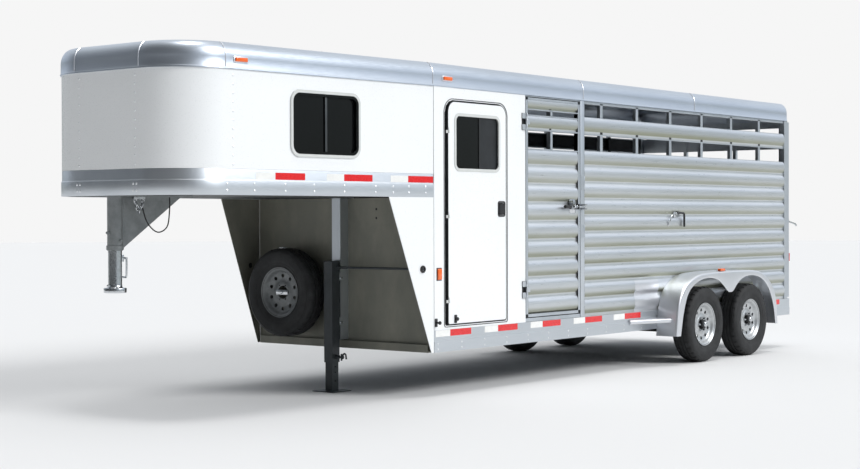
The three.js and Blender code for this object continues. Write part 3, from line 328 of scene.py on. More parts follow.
# fly screen behind the sliding half: dull mesh grey
SCREEN = Finish("fly_screen_mesh", "dark_glass", "16191c", "24282c", 0.1, 0.4,
                0.06, 2, (1, 1, 1), 120, 0.6, bump_mm=0.2)
TAPE_RED = Finish("red_reflective_tape", "tail_red", "df0b14", "b80c15", 0.0, 0.28,
                  0.08, 3, (1, 1, 1), 60, 0.35, speck=0.25, bump_mm=0.05, coat=0.5)
TAPE_WHITE = Finish("white_reflective_tape", "white_skin", "f1f1ee", "d9dad8", 0.0, 0.3,
                    0.08, 3, (1, 1, 1), 60, 0.4, speck=0.3, bump_mm=0.05, coat=0.5)
LENS_AMBER = Finish("amber_lens_acrylic", "tail_red", "f26a1b", "d9520f", 0.0, 0.18,
                    0.05, 3, (1, 1, 1), 20, 0.5, bump_mm=0.3, coat=0.8)
LENS_RED = Finish("red_lens_acrylic", "tail_red", "d8141c", "a50d14", 0.0, 0.18,
                  0.05, 3, (1, 1, 1), 20, 0.5, bump_mm=0.3, coat=0.8)
SLAT_PITCH = (2.138 - Z_RAIL_TOP) / 10
DOOR_PITCH = (2.131 - 0.600) / 9
# slat finishes carry a painted reflection of olive ground and painted shade on each slat's lower face
SLATS = Finish("slat_aluminium_rolled", "mill_aluminium", "dfe3e8", "bcc3ca", 0.9, 0.34,
               0.07, 5, (0.025, 1, 1), 900, 0.6, bump_mm=0.05, painted_reflection_bands=(Z_RAIL_TOP, SLAT_PITCH))
SLATS_HIGH = Finish("slat_aluminium_upper", "mill_aluminium", "dfe3e8", "bcc3ca", 0.9, 0.34,
                    0.07, 5, (0.025, 1, 1), 900, 0.6, bump_mm=0.05, painted_reflection_bands=(2.291, 0.168))
DOOR_SLATS = Finish("slat_aluminium_door", "mill_aluminium", "dfe3e8", "bcc3ca", 0.9, 0.34,
                    0.07, 5, (0.025, 1, 1), 900, 0.6, bump_mm=0.05, painted_reflection_bands=(0.600, DOOR_PITCH))


# ------------------------------------------------------------------ bench tools


def deselect() -> None:
    """Leave edit mode and select nothing."""
    if bpy.context.object and bpy.context.object.mode == "EDIT":
        bpy.ops.object.mode_set(mode="OBJECT")
    bpy.ops.object.select_all(action="DESELECT")


def work_on(obj: Thing) -> None:
    """Make one object the only one selected and active."""
    deselect()
    obj.select_set(True)
    bpy.context.view_layer.objects.active = obj


def pick(obj: Thing, kind: str, test: Callable[[Vector, Vector], bool]) -> None:
    """Select, in edit mode, the parts of a mesh that pass a test.

    Args:
        obj: The mesh object.
        kind: VERT, EDGE or FACE.
        test: Takes the part's middle and its normal (zero for an edge).
    """
    work_on(obj)
    bpy.ops.object.mode_set(mode="EDIT")
    bpy.ops.mesh.select_mode(type=kind)
    bpy.ops.mesh.select_all(action="DESELECT")
    bpy.ops.object.mode_set(mode="OBJECT")
    mesh = obj.data
    if kind == "VERT":
        for v in mesh.vertices:
            v.select = test(v.co, v.normal)
    elif kind == "EDGE":
        none = Vector()
        for e in mesh.edges:
            a, b = (mesh.vertices[i].co for i in e.vertices)
            e.select = test((a + b) / 2, none)
    else:
        for p in mesh.polygons:
            p.select = test(p.center, p.normal)
    bpy.ops.object.mode_set(mode="EDIT")


def settle(obj: Thing) -> Thing:
    """Put the object's place into its mesh, weld it and point its faces outwards."""
    work_on(obj)
    bpy.ops.object.transform_apply(location=True, rotation=True, scale=True)
    bpy.ops.object.mode_set(mode="EDIT")
    bpy.ops.mesh.select_all(action="SELECT")
    bpy.ops.mesh.remove_doubles(threshold=1e-5)
    bpy.ops.mesh.normals_make_consistent(inside=False)
    bpy.ops.object.mode_set(mode="OBJECT")
    return obj


def applied(obj: Thing, kind: str, **settings: object) -> Thing:
    """Add a modifier with settings and apply it."""
    work_on(obj)
    made = obj.modifiers.new(kind.lower(), kind)
    for name, value in settings.items():
        setattr(made, name, value)
    bpy.ops.object.modifier_apply(modifier=made.name)
    return obj


def cut(obj: Thing, cutter: Thing) -> Thing:
    """Take one solid out of another and drop the cutter."""
    applied(obj, "BOOLEAN", object=cutter, operation="DIFFERENCE", solver="EXACT")
    bpy.data.objects.remove(cutter)
    return obj


def joined(name: str, things: Sequence[Thing]) -> Thing:
    """Make several meshes one object with a given name."""
    deselect()
    for thing in things:
        thing.select_set(True)
    bpy.context.view_layer.objects.active = things[0]
    if len(things) > 1:
        bpy.ops.object.join()
    things[0].name = name
    return things[0]


def copied(obj: Thing, matrix: Matrix) -> Thing:
    """Copy an object with its own mesh, moved by a matrix."""
    twin = obj.copy()
    twin.data = obj.data.copy()
    bpy.context.collection.objects.link(twin)
    twin.matrix_world = matrix @ obj.matrix_world
    return twin


def scattered(name: str, master: Thing, matrices: Sequence[Matrix]) -> Thing:
    """Repeat a master piece at each matrix and join the copies into one object."""
    things = [copied(master, m) for m in matrices]
    bpy.data.objects.remove(master)
    return settle(joined(name, things))


def dress(
    obj: Thing,
    finish: Finish,
    body: str = "trailer",
    replaces: Sequence[str] = (),
    smooth: float = 35.0,
) -> Thing:
    """Give a finished piece its material, its body and the nodes it stands for.

    Args:
        obj: The piece, at the origin.
        finish: Its finish.
        body: The body it moves with.
        replaces: CAD nodes it stands for.
        smooth: Edge angle in degrees under which it shades smooth.

    Returns:
        The same object.
    """
    work_on(obj)
    obj.data.materials.clear()
    obj.data.materials.append(finish.material())
    bpy.ops.object.shade_smooth_by_angle(angle=math.radians(smooth))
    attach(obj, body)
    if replaces:
        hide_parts(*replaces)
    LOG.info("%s on %s: %d faces", obj.name, body, len(obj.data.polygons))
    return obj


def traced(name: str, points: Sequence[Vector], closed: bool, face: bool = False) -> Thing:
    """Draw a chain of edges from one vertex, by extruding it from point to point.

    Args:
        name: The object's name.
        points: Where the chain goes.
        closed: Whether its end joins its start.
        face: Whether the closed chain gets a face.

    Returns:
        The object, in object mode.
    """
    deselect()
    bpy.ops.mesh.primitive_plane_add(size=0.001, location=points[0])
    obj = bpy.context.object
    obj.name = name
    bpy.ops.object.transform_apply(location=True, rotation=True, scale=True)
    bpy.ops.object.mode_set(mode="EDIT")
    bpy.ops.mesh.select_mode(type="VERT")
    bpy.ops.mesh.merge(type="CENTER")
    for a, b in zip(points, points[1:]):
        bpy.ops.mesh.extrude_vertices_move(TRANSFORM_OT_translate={"value": b - a})
    if closed:
        bpy.ops.object.mode_set(mode="OBJECT")
        last = len(obj.data.vertices) - 1
        for v in obj.data.vertices:
            v.select = v.index in (0, last)
        bpy.ops.object.mode_set(mode="EDIT")
        bpy.ops.mesh.edge_face_add()
    bpy.ops.mesh.select_all(action="SELECT")
    if face:
        bpy.ops.mesh.edge_face_add()
    bpy.ops.object.mode_set(mode="OBJECT")
    return obj


def slab(name: str, points: Sequence[Vector], thickness: Vector) -> Thing:
    """Flat outline drawn and extruded to a solid plate."""
    obj = traced(name, points, True, True)
    pick(obj, "FACE", lambda c, n: True)
    bpy.ops.mesh.extrude_region_move(TRANSFORM_OT_translate={"value": thickness})
    bpy.ops.object.mode_set(mode="OBJECT")
    return settle(obj)


def eased_box(
    name: str, low: Vector, high: Vector, ease: float = 0.002, steps: int = 2
) -> Thing:
    """Bar or plate: a block at its size with its edges bevelled."""
    deselect()
    bpy.ops.mesh.primitive_cube_add(size=1, location=(low + high) / 2, scale=high - low)
    obj = bpy.context.object
    obj.name = name
    bpy.ops.object.transform_apply(location=True, rotation=True, scale=True)
    bpy.ops.object.mode_set(mode="EDIT")
    bpy.ops.mesh.select_all(action="SELECT")
    bpy.ops.mesh.bevel(offset=ease, segments=steps, affect="EDGES")
    bpy.ops.object.mode_set(mode="OBJECT")
    return obj


def rounded_plate(
    name: str,
    u: Flat,
    z: Flat,
    y: Flat,
    low: float,
    high: float,
    steps: int = 8,
    edge: float = 0.0,
) -> Thing:
    """Upright plate with rounded corners, drawn in x and z and thick along y.

    Args:
        name: The object's name.
        u: Its x from and to.
        z: Its z from and to.
        y: Its outer and inner face.
        low: Radius of the two bottom corners.
        high: Radius of the two top corners.
        steps: Segments in each corner.
        edge: Bevel round the outer face.

    Returns:
        The plate.
    """
    deselect()
    middle = Vector(((u[0] + u[1]) / 2, y[0], (z[0] + z[1]) / 2))
    bpy.ops.mesh.primitive_plane_add(size=1, location=middle, rotation=(math.pi / 2, 0, 0))
    obj = bpy.context.object
    obj.name = name
    obj.scale = (u[1] - u[0], z[1] - z[0], 1)
    bpy.ops.object.transform_apply(location=True, rotation=True, scale=True)
    for radius, top in ((low, False), (high, True)):
        edge_z = z[1] if top else z[0]
        pick(obj, "VERT", lambda c, n, at=edge_z: abs(c.z - at) < 1e-5)
        bpy.ops.mesh.bevel(offset=radius, segments=steps, affect="VERTICES")
    pick(obj, "FACE", lambda c, n: True)
    bpy.ops.mesh.extrude_region_move(TRANSFORM_OT_translate={"value": (0, y[1] - y[0], 0)})
    bpy.ops.object.mode_set(mode="OBJECT")
    settle(obj)
    if edge:
        pick(obj, "FACE", lambda c, n: abs(c.y - y[0]) < 1e-5 and abs(n.y) > 0.9)
        bpy.ops.mesh.inset(thickness=edge)
        bpy.ops.mesh.extrude_region_move(TRANSFORM_OT_translate={"value": (0, 0, 0)})
        bpy.ops.object.mode_set(mode="OBJECT")
        rim = [v for v in obj.data.vertices if abs(v.co.y - y[0]) < 1e-5]
        inner = {i for p in obj.data.polygons if p.select for i in p.vertices}
        back = edge * (0.6 if y[1] > y[0] else -0.6)
        for v in rim:
            if v.index not in inner:
                v.co.y += back
        settle(obj)
    return obj


def turned(name: str, profile: Sequence[Flat], steps: int, closed: bool = True) -> Thing:
    """Spin a profile of (radius, depth) round the Y axis.

    Args:
        name: The object's name.
        profile: Radius and depth of each point.
        steps: Segments round the axis.
        closed: Whether the profile's end joins its start.

    Returns:
        The turned solid, centred on the origin.
    """
    obj = traced(name, [Vector((r, w, 0)) for r, w in profile], closed)
    pick(obj, "VERT", lambda c, n: True)
    bpy.ops.mesh.spin(steps=steps, angle=2 * math.pi, center=(0, 0, 0), axis=(0, 1, 0))
    bpy.ops.mesh.select_all(action="SELECT")
    bpy.ops.mesh.remove_doubles(threshold=1e-5)
    bpy.ops.object.mode_set(mode="OBJECT")
    return settle(obj)


def bar(
    name: str, points: Sequence[Vector], radius: float, sides: int = 3, smooth: bool = True
) -> Thing:
    """Round bar or wire along points, drawn as a curve and made a mesh."""
    data = bpy.data.curves.new(name, "CURVE")
    data.dimensions = "3D"
    data.bevel_depth = radius
    data.bevel_resolution = sides
    data.use_fill_caps = True
    data.resolution_u = 4
    spline = data.splines.new("NURBS" if smooth else "POLY")
    spline.points.add(len(points) - 1)
    for target, point in zip(spline.points, points):
        target.co = (*point, 1)
    if smooth:
        spline.order_u = 3
        spline.use_endpoint_u = True
    obj = bpy.data.objects.new(name, data)
    bpy.context.collection.objects.link(obj)
    work_on(obj)
    bpy.ops.object.convert(target="MESH")
    return settle(bpy.context.object)


def rod(name: str, start: Vector, end: Vector, radius: float, sides: int = 20,
        ease: float = 0.0015) -> Thing:
    """Straight round bar with its end edges bevelled."""
    deselect()
    along = end - start
    bpy.ops.mesh.primitive_cylinder_add(
        vertices=sides, radius=radius, depth=along.length, location=(start + end) / 2,
        rotation=along.to_track_quat("Z", "Y").to_euler())
    obj = bpy.context.object
    obj.name = name
    bpy.ops.object.transform_apply(location=True, rotation=True, scale=True)
    way = along.normalized()
    pick(obj, "FACE", lambda c, n: abs(n.dot(way)) > 0.9)
    bpy.ops.mesh.bevel(offset=ease, segments=2, affect="EDGES")
    bpy.ops.object.mode_set(mode="OBJECT")
    return obj


def dome(name: str, radius: float, height: float) -> Thing:
    """Rivet head: the upper half of a ball pressed flat, facing +Z."""
    deselect()
    bpy.ops.mesh.primitive_uv_sphere_add(segments=8, ring_count=6, radius=radius)
    obj = bpy.context.object
    obj.name = name
    bpy.ops.object.mode_set(mode="EDIT")
    bpy.ops.mesh.select_all(action="SELECT")
    bpy.ops.mesh.bisect(plane_co=(0, 0, 0), plane_no=(0, 0, 1), clear_inner=True, use_fill=True)
    bpy.ops.mesh.select_all(action="SELECT")
    bpy.ops.transform.resize(value=(1, 1, height / radius), center_override=(0, 0, 0))
    bpy.ops.object.mode_set(mode="OBJECT")
    return obj


TO_ROAD = Matrix.Rotation(math.pi / 2, 4, "X")
TO_FRONT = Matrix.Rotation(-math.pi / 2, 4, "Y")
NOSE_TURN = (
    Matrix.Translation((JOINT_X, -HALF, 0))
    @ Matrix.Rotation(-TAPER, 4, "Z")
)


def on_nose(obj: Thing) -> Thing:
    """Turn a piece built flat at y = 0, with x from the joint, onto the nose's road side."""
    obj.matrix_world = NOSE_TURN @ obj.matrix_world
    return settle(obj)


def kerb_copy(obj: Thing, name: str) -> Thing:
    """Mirror a finished road-side piece to the kerb side."""
    twin = copied(obj, Matrix.Scale(-1, 4, (0, 1, 0)))
    twin.name = name
    return settle(twin)


def nose_y(x: float) -> float:
    """Road-side y of the nose face at a length x ahead of the joint."""
    return -(HALF + x * math.tan(TAPER))


def smooth_line(points: Sequence[Flat], per: int) -> List[Flat]:
    """Round a polyline off with a curve through its points.

    Args:
        points: The points to pass through.
        per: Steps between two points.

    Returns:
        The finer line.
    """
    line = []
    for i in range(len(points) - 1):
        p = [Vector(points[max(0, min(len(points) - 1, i + k))]) for k in (-1, 0, 1, 2)]
        for s in range(per):
            t = s / per
            q = 0.5 * (2 * p[1] + (p[2] - p[0]) * t + (2 * p[0] - 5 * p[1] + 4 * p[2] - p[3]) * t * t
                       + (3 * p[1] - p[0] - 3 * p[2] + p[3]) * t ** 3)
            line.append((q.x, q.y))
    return line + [tuple(points[-1])]


def swept_half(name: str, profile: Sequence[Flat], round_rear: float = 0.0) -> Thing:
    """Carry a profile of (inset, z) round the road side of the nose, and mirror it.

    Args:
        name: The object's name.
        profile: The closed section, inset from the outline and height.
        round_rear: Rear corner radius; 0 stops the sweep at the nose joint.

    Returns:
        The piece for both sides.
    """
    front = [Vector((JOINT_X - NOSE_L + d, 0, z)) for d, z in profile]
    obj = traced(name, front, True)
    pick(obj, "VERT", lambda c, n: True)
    bpy.ops.mesh.extrude_region_move(TRANSFORM_OT_translate={"value": (0, CORNER_Y, 0)})
    centre = place(CORNER_X, CORNER_Y, 0)
    bpy.ops.mesh.spin(steps=18, angle=math.pi / 2 - TAPER, center=centre, axis=(0, 0, -1))
    run = (CORNER_R * math.sin(TAPER) - CORNER_X + 0.05) / math.cos(TAPER)
    way = Vector((math.cos(TAPER), -math.sin(TAPER), 0)) * run
    bpy.ops.mesh.extrude_region_move(TRANSFORM_OT_translate={"value": way})
    bpy.ops.mesh.select_all(action="SELECT")
    bpy.ops.mesh.bisect(plane_co=place(0, 0, 0), plane_no=(1, 0, 0), clear_outer=True)
    if round_rear:
        length = BOX_L - round_rear
        bpy.ops.mesh.extrude_region_move(TRANSFORM_OT_translate={"value": (length, 0, 0)})
        rear = place(length, -HALF + round_rear, 0)
        bpy.ops.mesh.spin(steps=8, angle=math.pi / 2, center=rear, axis=(0, 0, -1))
        bpy.ops.mesh.extrude_region_move(
            TRANSFORM_OT_translate={"value": (0, HALF - round_rear, 0)})
    bpy.ops.mesh.select_all(action="SELECT")
    bpy.ops.mesh.remove_doubles(threshold=1e-5)
    bpy.ops.mesh.select_all(action="SELECT")
    bpy.ops.mesh.symmetrize(direction="NEGATIVE_Y")
    bpy.ops.mesh.select_all(action="DESELECT")
    bpy.ops.mesh.select_non_manifold()
    bpy.ops.mesh.fill_holes(sides=0)
    bpy.ops.object.mode_set(mode="OBJECT")
    return settle(obj)


def beaded(name: str, line: Sequence[Vector], width: float, proud: float) -> Thing:
    """Weld or joint strip: a flat bead along a line over a rail."""
    return bar(name, line, max(width / 2, proud), 2, False)


# ------------------------------------------------------------------ studio


@dataclass
class Studio:
    """Plain pale floor, soft light and the camera."""

    eye: Point = (-10.731, -9.4268, 1.5063)
    yaw: float = 0.6674
    pitch: float = -0.0104
    roll: float = -0.0026
    lens: float = 68.05
    paper: str = "e5e5e5"
    dome: float = 0.86
    front_dim: float = 0.12
    overhead: float = 0.80
    side: float = 1.80

    def build(self) -> None:
        """Lay the floor, light the room and set the camera."""
        self.lay_floor()
        self.light()
        self.aim()

    def lay_floor(self) -> None:
        """One wide matt sheet that meets the backdrop colour."""
        deselect()
        bpy.ops.mesh.primitive_circle_add(vertices=64, radius=90, fill_type="NGON")
        floor = bpy.context.object
        floor.name = "studio_floor"
        made = bpy.data.materials.new("studio_paper")
        made.use_nodes = True
        shader = made.node_tree.nodes["Principled BSDF"]
        shader.inputs["Base Color"].default_value = linear(self.paper)
        shader.inputs["Roughness"].default_value = 0.95
        shader.inputs["Specular IOR Level"].default_value = 0.1
        floor.data.materials.append(made)

    def light(self) -> None:
        """Overcast dome with a dim horizon, and one soft overhead key."""
        world = bpy.data.worlds.new("studio_dome")
        bpy.context.scene.world = world
        world.use_nodes = True
        tree = world.node_tree
        tree.nodes.clear()
        where = add_node(tree, "ShaderNodeTexCoord").outputs["Generated"]
        split = add_node(tree, "ShaderNodeSeparateXYZ", {0: where})
        ramp = add_node(tree, "ShaderNodeValToRGB", {0: split.outputs[2]})
        stops = ramp.color_ramp.elements
        stops[0].position, stops[0].color = 0.0, (0.34, 0.38, 0.36, 1)
        stops[1].position, stops[1].color = 1.0, (1.0, 1.0, 1.0, 1)
        for at, colour in (
            (0.08, (0.42, 0.47, 0.48, 1)), (0.20, (0.80, 0.88, 1.0, 1)), (0.55, (0.92, 0.96, 1.0, 1)),
        ):
            stop = stops.new(at)
            stop.color = colour
        ahead = add_node(tree, "ShaderNodeMapRange", {
            "Value": split.outputs[0], "From Min": -0.75, "From Max": 0.15,
            "To Min": self.front_dim, "To Max": 1.0,
        }, interpolation_type="SMOOTHSTEP").outputs[0]
        strength = add_node(
            tree, "ShaderNodeMath", {0: ahead, 1: self.dome}, operation="MULTIPLY").outputs[0]
        dome_light = add_node(
            tree, "ShaderNodeBackground", {"Color": ramp.outputs[0], "Strength": strength})
        backdrop = add_node(
            tree, "ShaderNodeBackground", {"Color": linear("f6f6f6"), "Strength": 1.0})
        seen = add_node(tree, "ShaderNodeLightPath").outputs["Is Camera Ray"]
        both = add_node(tree, "ShaderNodeMixShader", {
            0: seen, 1: dome_light.outputs[0], 2: backdrop.outputs[0],
        })
        add_node(tree, "ShaderNodeOutputWorld", {0: both.outputs[0]})
        for name, turn, energy, spread in (
            ("overhead", (0.10, 0.0, 0.0), self.overhead, 18.0),
            ("side", (0.98, 0.0, 0.30), self.side, 22.0),
        ):
            data = bpy.data.lights.new(name, "SUN")
            data.energy = energy
            data.angle = math.radians(spread)
            lamp = bpy.data.objects.new(name, data)
            lamp.rotation_euler = turn
            bpy.context.collection.objects.link(lamp)
        bpy.context.scene.view_settings.view_transform = "Standard"

    def aim(self) -> None:
        """Set the camera by its eye, yaw, pitch and roll."""
        ahead = Vector((math.cos(self.yaw) * math.cos(self.pitch),
                        math.sin(self.yaw) * math.cos(self.pitch), math.sin(self.pitch)))
        right = Vector((math.sin(self.yaw), -math.cos(self.yaw), 0))
        up = right.cross(ahead)
        level = math.cos(self.roll) * right + math.sin(self.roll) * up
        lift = math.cos(self.roll) * up - math.sin(self.roll) * right
        data = bpy.data.cameras.new("camera")
        data.lens = self.lens
        data.sensor_width = 36
        data.clip_end = 300
        camera = bpy.data.objects.new("camera", data)
        turn = Matrix((level, lift, -ahead)).transposed().to_4x4()
        camera.matrix_world = Matrix.Translation(place(*self.eye)) @ turn
        bpy.context.collection.objects.link(camera)
        bpy.context.scene.camera = camera


# ------------------------------------------------------------------ nose


@dataclass
class Nose:
    """Tapered nose over the hitch: cast rail, white shell, window, tape and rivets."""

    step: float = 0.113
    wall: float = 0.006
    rail_depth: float = 0.040
    skin: float = 0.005
    window_x: Flat = (-1.611, -0.862)
    window_z: Flat = (1.976, 2.496)
    lip: float = 0.040
    corner: float = 0.090
    bead: Flat = (0.024, 0.046)
    red_tape: Sequence[Flat] = ((-1.764, -1.456), (-1.040, -0.721), (-0.308, -0.004))
    white_tape: Sequence[Flat] = ((-1.961, -1.764), (-1.228, -1.040), (-0.514, -0.308))
    tape_z: Flat = (1.797, 1.851)
    rivets_x: Sequence[float] = (
        -2.240, -1.975, -1.665, -1.366, -1.040, -0.690, -0.490, -0.302, -0.100)

    def build(self) -> None:
        """Build the nose's pieces."""
        self.make_rail()
        self.make_shell()
        self.make_window()
        self.stick_tape()
        self.drive_rivets()

    def make_rail(self) -> None:
        """Bottom rail with its step and rounded arrises."""
        z, w, d = Z_NOSE, self.wall, self.rail_depth
        top = Z_NOSE_TOP
        rail = swept_half("nose_rail_cap", [
            (0.003, z), (0.0008, z + 0.0008), (0, z + 0.003), (0, z + self.step - 0.006),
            (0.0015, z + self.step - 0.002), (w - 0.0015, z + self.step + 0.002),
            (w, z + self.step + 0.006), (w, top - 0.003), (w + 0.001, top - 0.001),
            (w + 0.003, top), (d, top), (d, top - w), (2 * w, top - w), (2 * w, z + w),
            (d, z + w), (d, z)])
        dress(rail, MILL, replaces=["nose_rail"], smooth=30)

    def make_shell(self) -> None:
        """White skin round the nose, with the window cut out of it."""
        w, s = self.wall, self.skin
        shell = swept_half("nose_skin", [
            (w, Z_NOSE_TOP + 0.0003), (w, Z_ROOF_LOW - 0.0003), (w + s, Z_ROOF_LOW - 0.0003),
            (w + s, Z_NOSE_TOP + 0.0003)])
        in_by = self.lip / 2
        hole = on_nose(rounded_plate(
            "window_hole", (self.window_x[0] + in_by, self.window_x[1] - in_by),
            (self.window_z[0] + in_by, self.window_z[1] - in_by), (-0.05, 0.05),
            self.corner - in_by, self.corner - in_by))
        cut(shell, hole)
        dress(shell, WHITE, replaces=["nose_shell"], smooth=30)

    def make_window(self) -> None:
        """Grey frame with its mullion, standing on the skin."""
        (x0, x1), (z0, z1), lip, r = self.window_x, self.window_z, self.lip, self.corner
        ring = rounded_plate("ring", (x0, x1), (z0, z1), (-0.0058, 0.0057), r, r, 10, 0.003)
        inner = rounded_plate(
            "inner", (x0 + lip, x1 - lip), (z0 + lip, z1 - lip), (-0.03, 0.03),
            r * 0.62, r * 0.62, 10)
        cut(ring, inner)
        middle = (x0 + x1) / 2
        mullion = eased_box("mullion", Vector((middle - 0.011, 0.0005, z0 + lip - 0.002)),
                            Vector((middle + 0.011, 0.0057, z1 - lip + 0.002)))
        dress(on_nose(joined("nose_window_surround", [ring])), SURROUND,
              replaces=["nose_window_frame"])
        mullion.name = "nose_window_mullion"
        dress(on_nose(mullion), JACK)
        near, far = self.bead
        seal = rounded_plate("seal", (x0 + near, x1 - near), (z0 + near, z1 - near),
                             (-0.0066, -0.0010), r * 0.76, r * 0.76, 10)
        bore = rounded_plate("bore", (x0 + far, x1 - far), (z0 + far, z1 - far),
                             (-0.03, 0.03), r * 0.56, r * 0.56, 10)
        cut(seal, bore)
        seal.name = "nose_window_seal"
        dress(on_nose(seal), TINT)

    def stick_tape(self) -> None:
        """Red and white reflective tape on the rail's upper band."""
        for name, spans, finish in (
            ("nose_tape_red", self.red_tape, TAPE_RED),
            ("nose_tape_white", self.white_tape, TAPE_WHITE),
        ):
            strips = [
                eased_box("strip", Vector((a + 0.001, self.wall - 0.0006, self.tape_z[0])),
                          Vector((b - 0.001, self.wall + 0.0002, self.tape_z[1])), 0.0002, 1)
                for a, b in spans
            ]
            dress(on_nose(joined(name, strips)), finish)

    def drive_rivets(self) -> None:
        """Rivets along the rail, up the shell seam and round the front."""
        spots = [(x, z) for x in self.rivets_x for z in (1.712, 1.762)]
        face = [Matrix.Translation((x, 0, z)) @ TO_ROAD for x, z in spots]
        face += [Matrix.Translation((-2.177, self.wall, 1.905 + i * 0.066)) @ TO_ROAD
                 for i in range(11)]
        rivets = scattered("nose_rivets", dome("head", 0.0095, 0.0045), face)
        dress(on_nose(rivets), RIVET)
        front = []
        for y in (-0.314, 0.314):
            front += [Matrix.Translation(place(-NOSE_L + self.wall, y, 1.905 + i * 0.066)) @ TO_FRONT
                      for i in range(11)]
        for y in (-0.335, -0.300, 0.300, 0.335):
            front += [Matrix.Translation(place(-NOSE_L, y, z)) @ TO_FRONT for z in (1.712, 1.762)]
        dress(scattered("front_rivets", dome("head", 0.0095, 0.0045), front), RIVET)


# ------------------------------------------------------------------ roof


@dataclass
class Roof:
    """Rounded cap rail all round, the roof sheet, and the lamps and joints on the rail."""

    inset: float = 0.086
    wall: float = 0.006
    lip: float = 0.005
    rear_corner: float = 0.092
    joints: Sequence[float] = (-2.245, -0.012, 2.30, 4.45)

    def profile(self) -> List[Flat]:
        """Section of the cap as (inset, z), from the drip lip over the top and back inside."""
        z, low = Z_ROOF, Z_ROOF_LOW
        outer = [(0, low + 0.017), (0, z - 0.118)]
        rise, depth = 0.118, self.inset
        arc = [(depth * (1 - math.cos(math.radians(a))), z - rise * (1 - math.sin(math.radians(a))))
               for a in range(9, 91, 9)]
        inner = [(d + self.wall if d < depth - self.wall else depth, h - self.wall)
                 for d, h in reversed(arc)]
        return [(-self.lip, low), (-self.lip, low + 0.009), (-self.lip + 0.002, low + 0.012),
                *outer, *arc, *inner[:-1], (self.wall, z - 0.118), (self.wall, low)]

    def build(self) -> None:
        """Build the roof's pieces."""
        cap = swept_half("roof_cap_rail", self.profile(), self.rear_corner)
        dress(cap, ROOF_CAP, replaces=["roof_rail"], smooth=40)
        self.lay_sheet()
        self.weld_joints()
        self.fix_lamps()

    def lay_sheet(self) -> None:
        """Roof sheet with pressed ribs across it, and the screws along its edge."""
        ribs = []
        x = -2.45
        while x < 6.55:
            reach = HALF - 0.13 + (min(x, 0) * math.tan(TAPER))
            if x < CORNER_X:
                reach = min(reach, -CORNER_Y + 0.25)
            ribs.append(eased_box("rib", place(x, -reach, Z_ROOF - 0.0035),
                                  place(x + 0.022, reach, Z_ROOF - 0.0002), 0.0012, 1))
            x += 0.30
        dress(settle(joined("roof_ribs", ribs)), ROOF_CAP)
        heads = []
        x = -2.15
        while x < 6.58:
            y = -(HALF - 0.078) - min(x, 0) * math.tan(TAPER)
            for side in (-1, 1):
                heads.append(Matrix.Translation(place(x, side * -y * 1.0, Z_ROOF - 0.0022)))
            x += 0.105
        dress(scattered("roof_edge_screws", dome("head", 0.007, 0.0020), heads), PLATED)

    def bead_line(self, x: float) -> List[Vector]:
        """Outer line of the cap at one length along the road side."""
        shift = min(x, 0) * math.tan(TAPER)
        return [place(x, -(HALF - d) - shift, z)
                for d, z in self.profile()[3:13]]

    def weld_joints(self) -> None:
        """Ground weld beads where lengths of cap meet."""
        beads = []
        for x in self.joints:
            line = self.bead_line(x)
            beads.append(beaded("bead", line, 0.009, 0.0015))
            beads.append(kerb_copy(beads[-1], "bead"))
        for y in (-0.36, 0.36):
            line = [place(-NOSE_L + d, y, z) for d, z in self.profile()[3:13]]
            beads.append(beaded("bead", line, 0.009, 0.0015))
        dress(settle(joined("cap_weld_beads", beads)), BRIGHT)

    def fix_lamps(self) -> None:
        """Amber clearance lamps on the rail, each in a bright bezel."""
        for side in Side:
            tag = side.name.lower()
            lenses, bezels = [], []
            for x, z in ((-2.100, 2.6825), (0.182, 2.6815)):
                y = -(HALF + min(x, 0) * math.tan(TAPER))
                lens = eased_box("lens", Vector((-0.058, -0.018, -0.016)),
                                 Vector((0.058, 0.004, 0.016)), 0.006, 3)
                bezel = eased_box("bezel", Vector((-0.070, -0.006, -0.024)),
                                  Vector((0.070, 0.004, 0.024)), 0.004, 2)
                turn = Matrix.Rotation(-TAPER if x < 0 else 0, 4, "Z")
                for part, store in ((lens, lenses), (bezel, bezels)):
                    part.matrix_world = Matrix.Translation(place(x, y, z)) @ turn
                    settle(part)
                    if side is Side.KERB:
                        twin = kerb_copy(part, part.name)
                        bpy.data.objects.remove(part)
                        part = twin
                    store.append(part)
            dress(joined(f"clearance_lens_{tag}", lenses), LENS_AMBER)
            dress(joined(f"clearance_bezel_{tag}", bezels), BRIGHT)


# ------------------------------------------------------------------ stock body


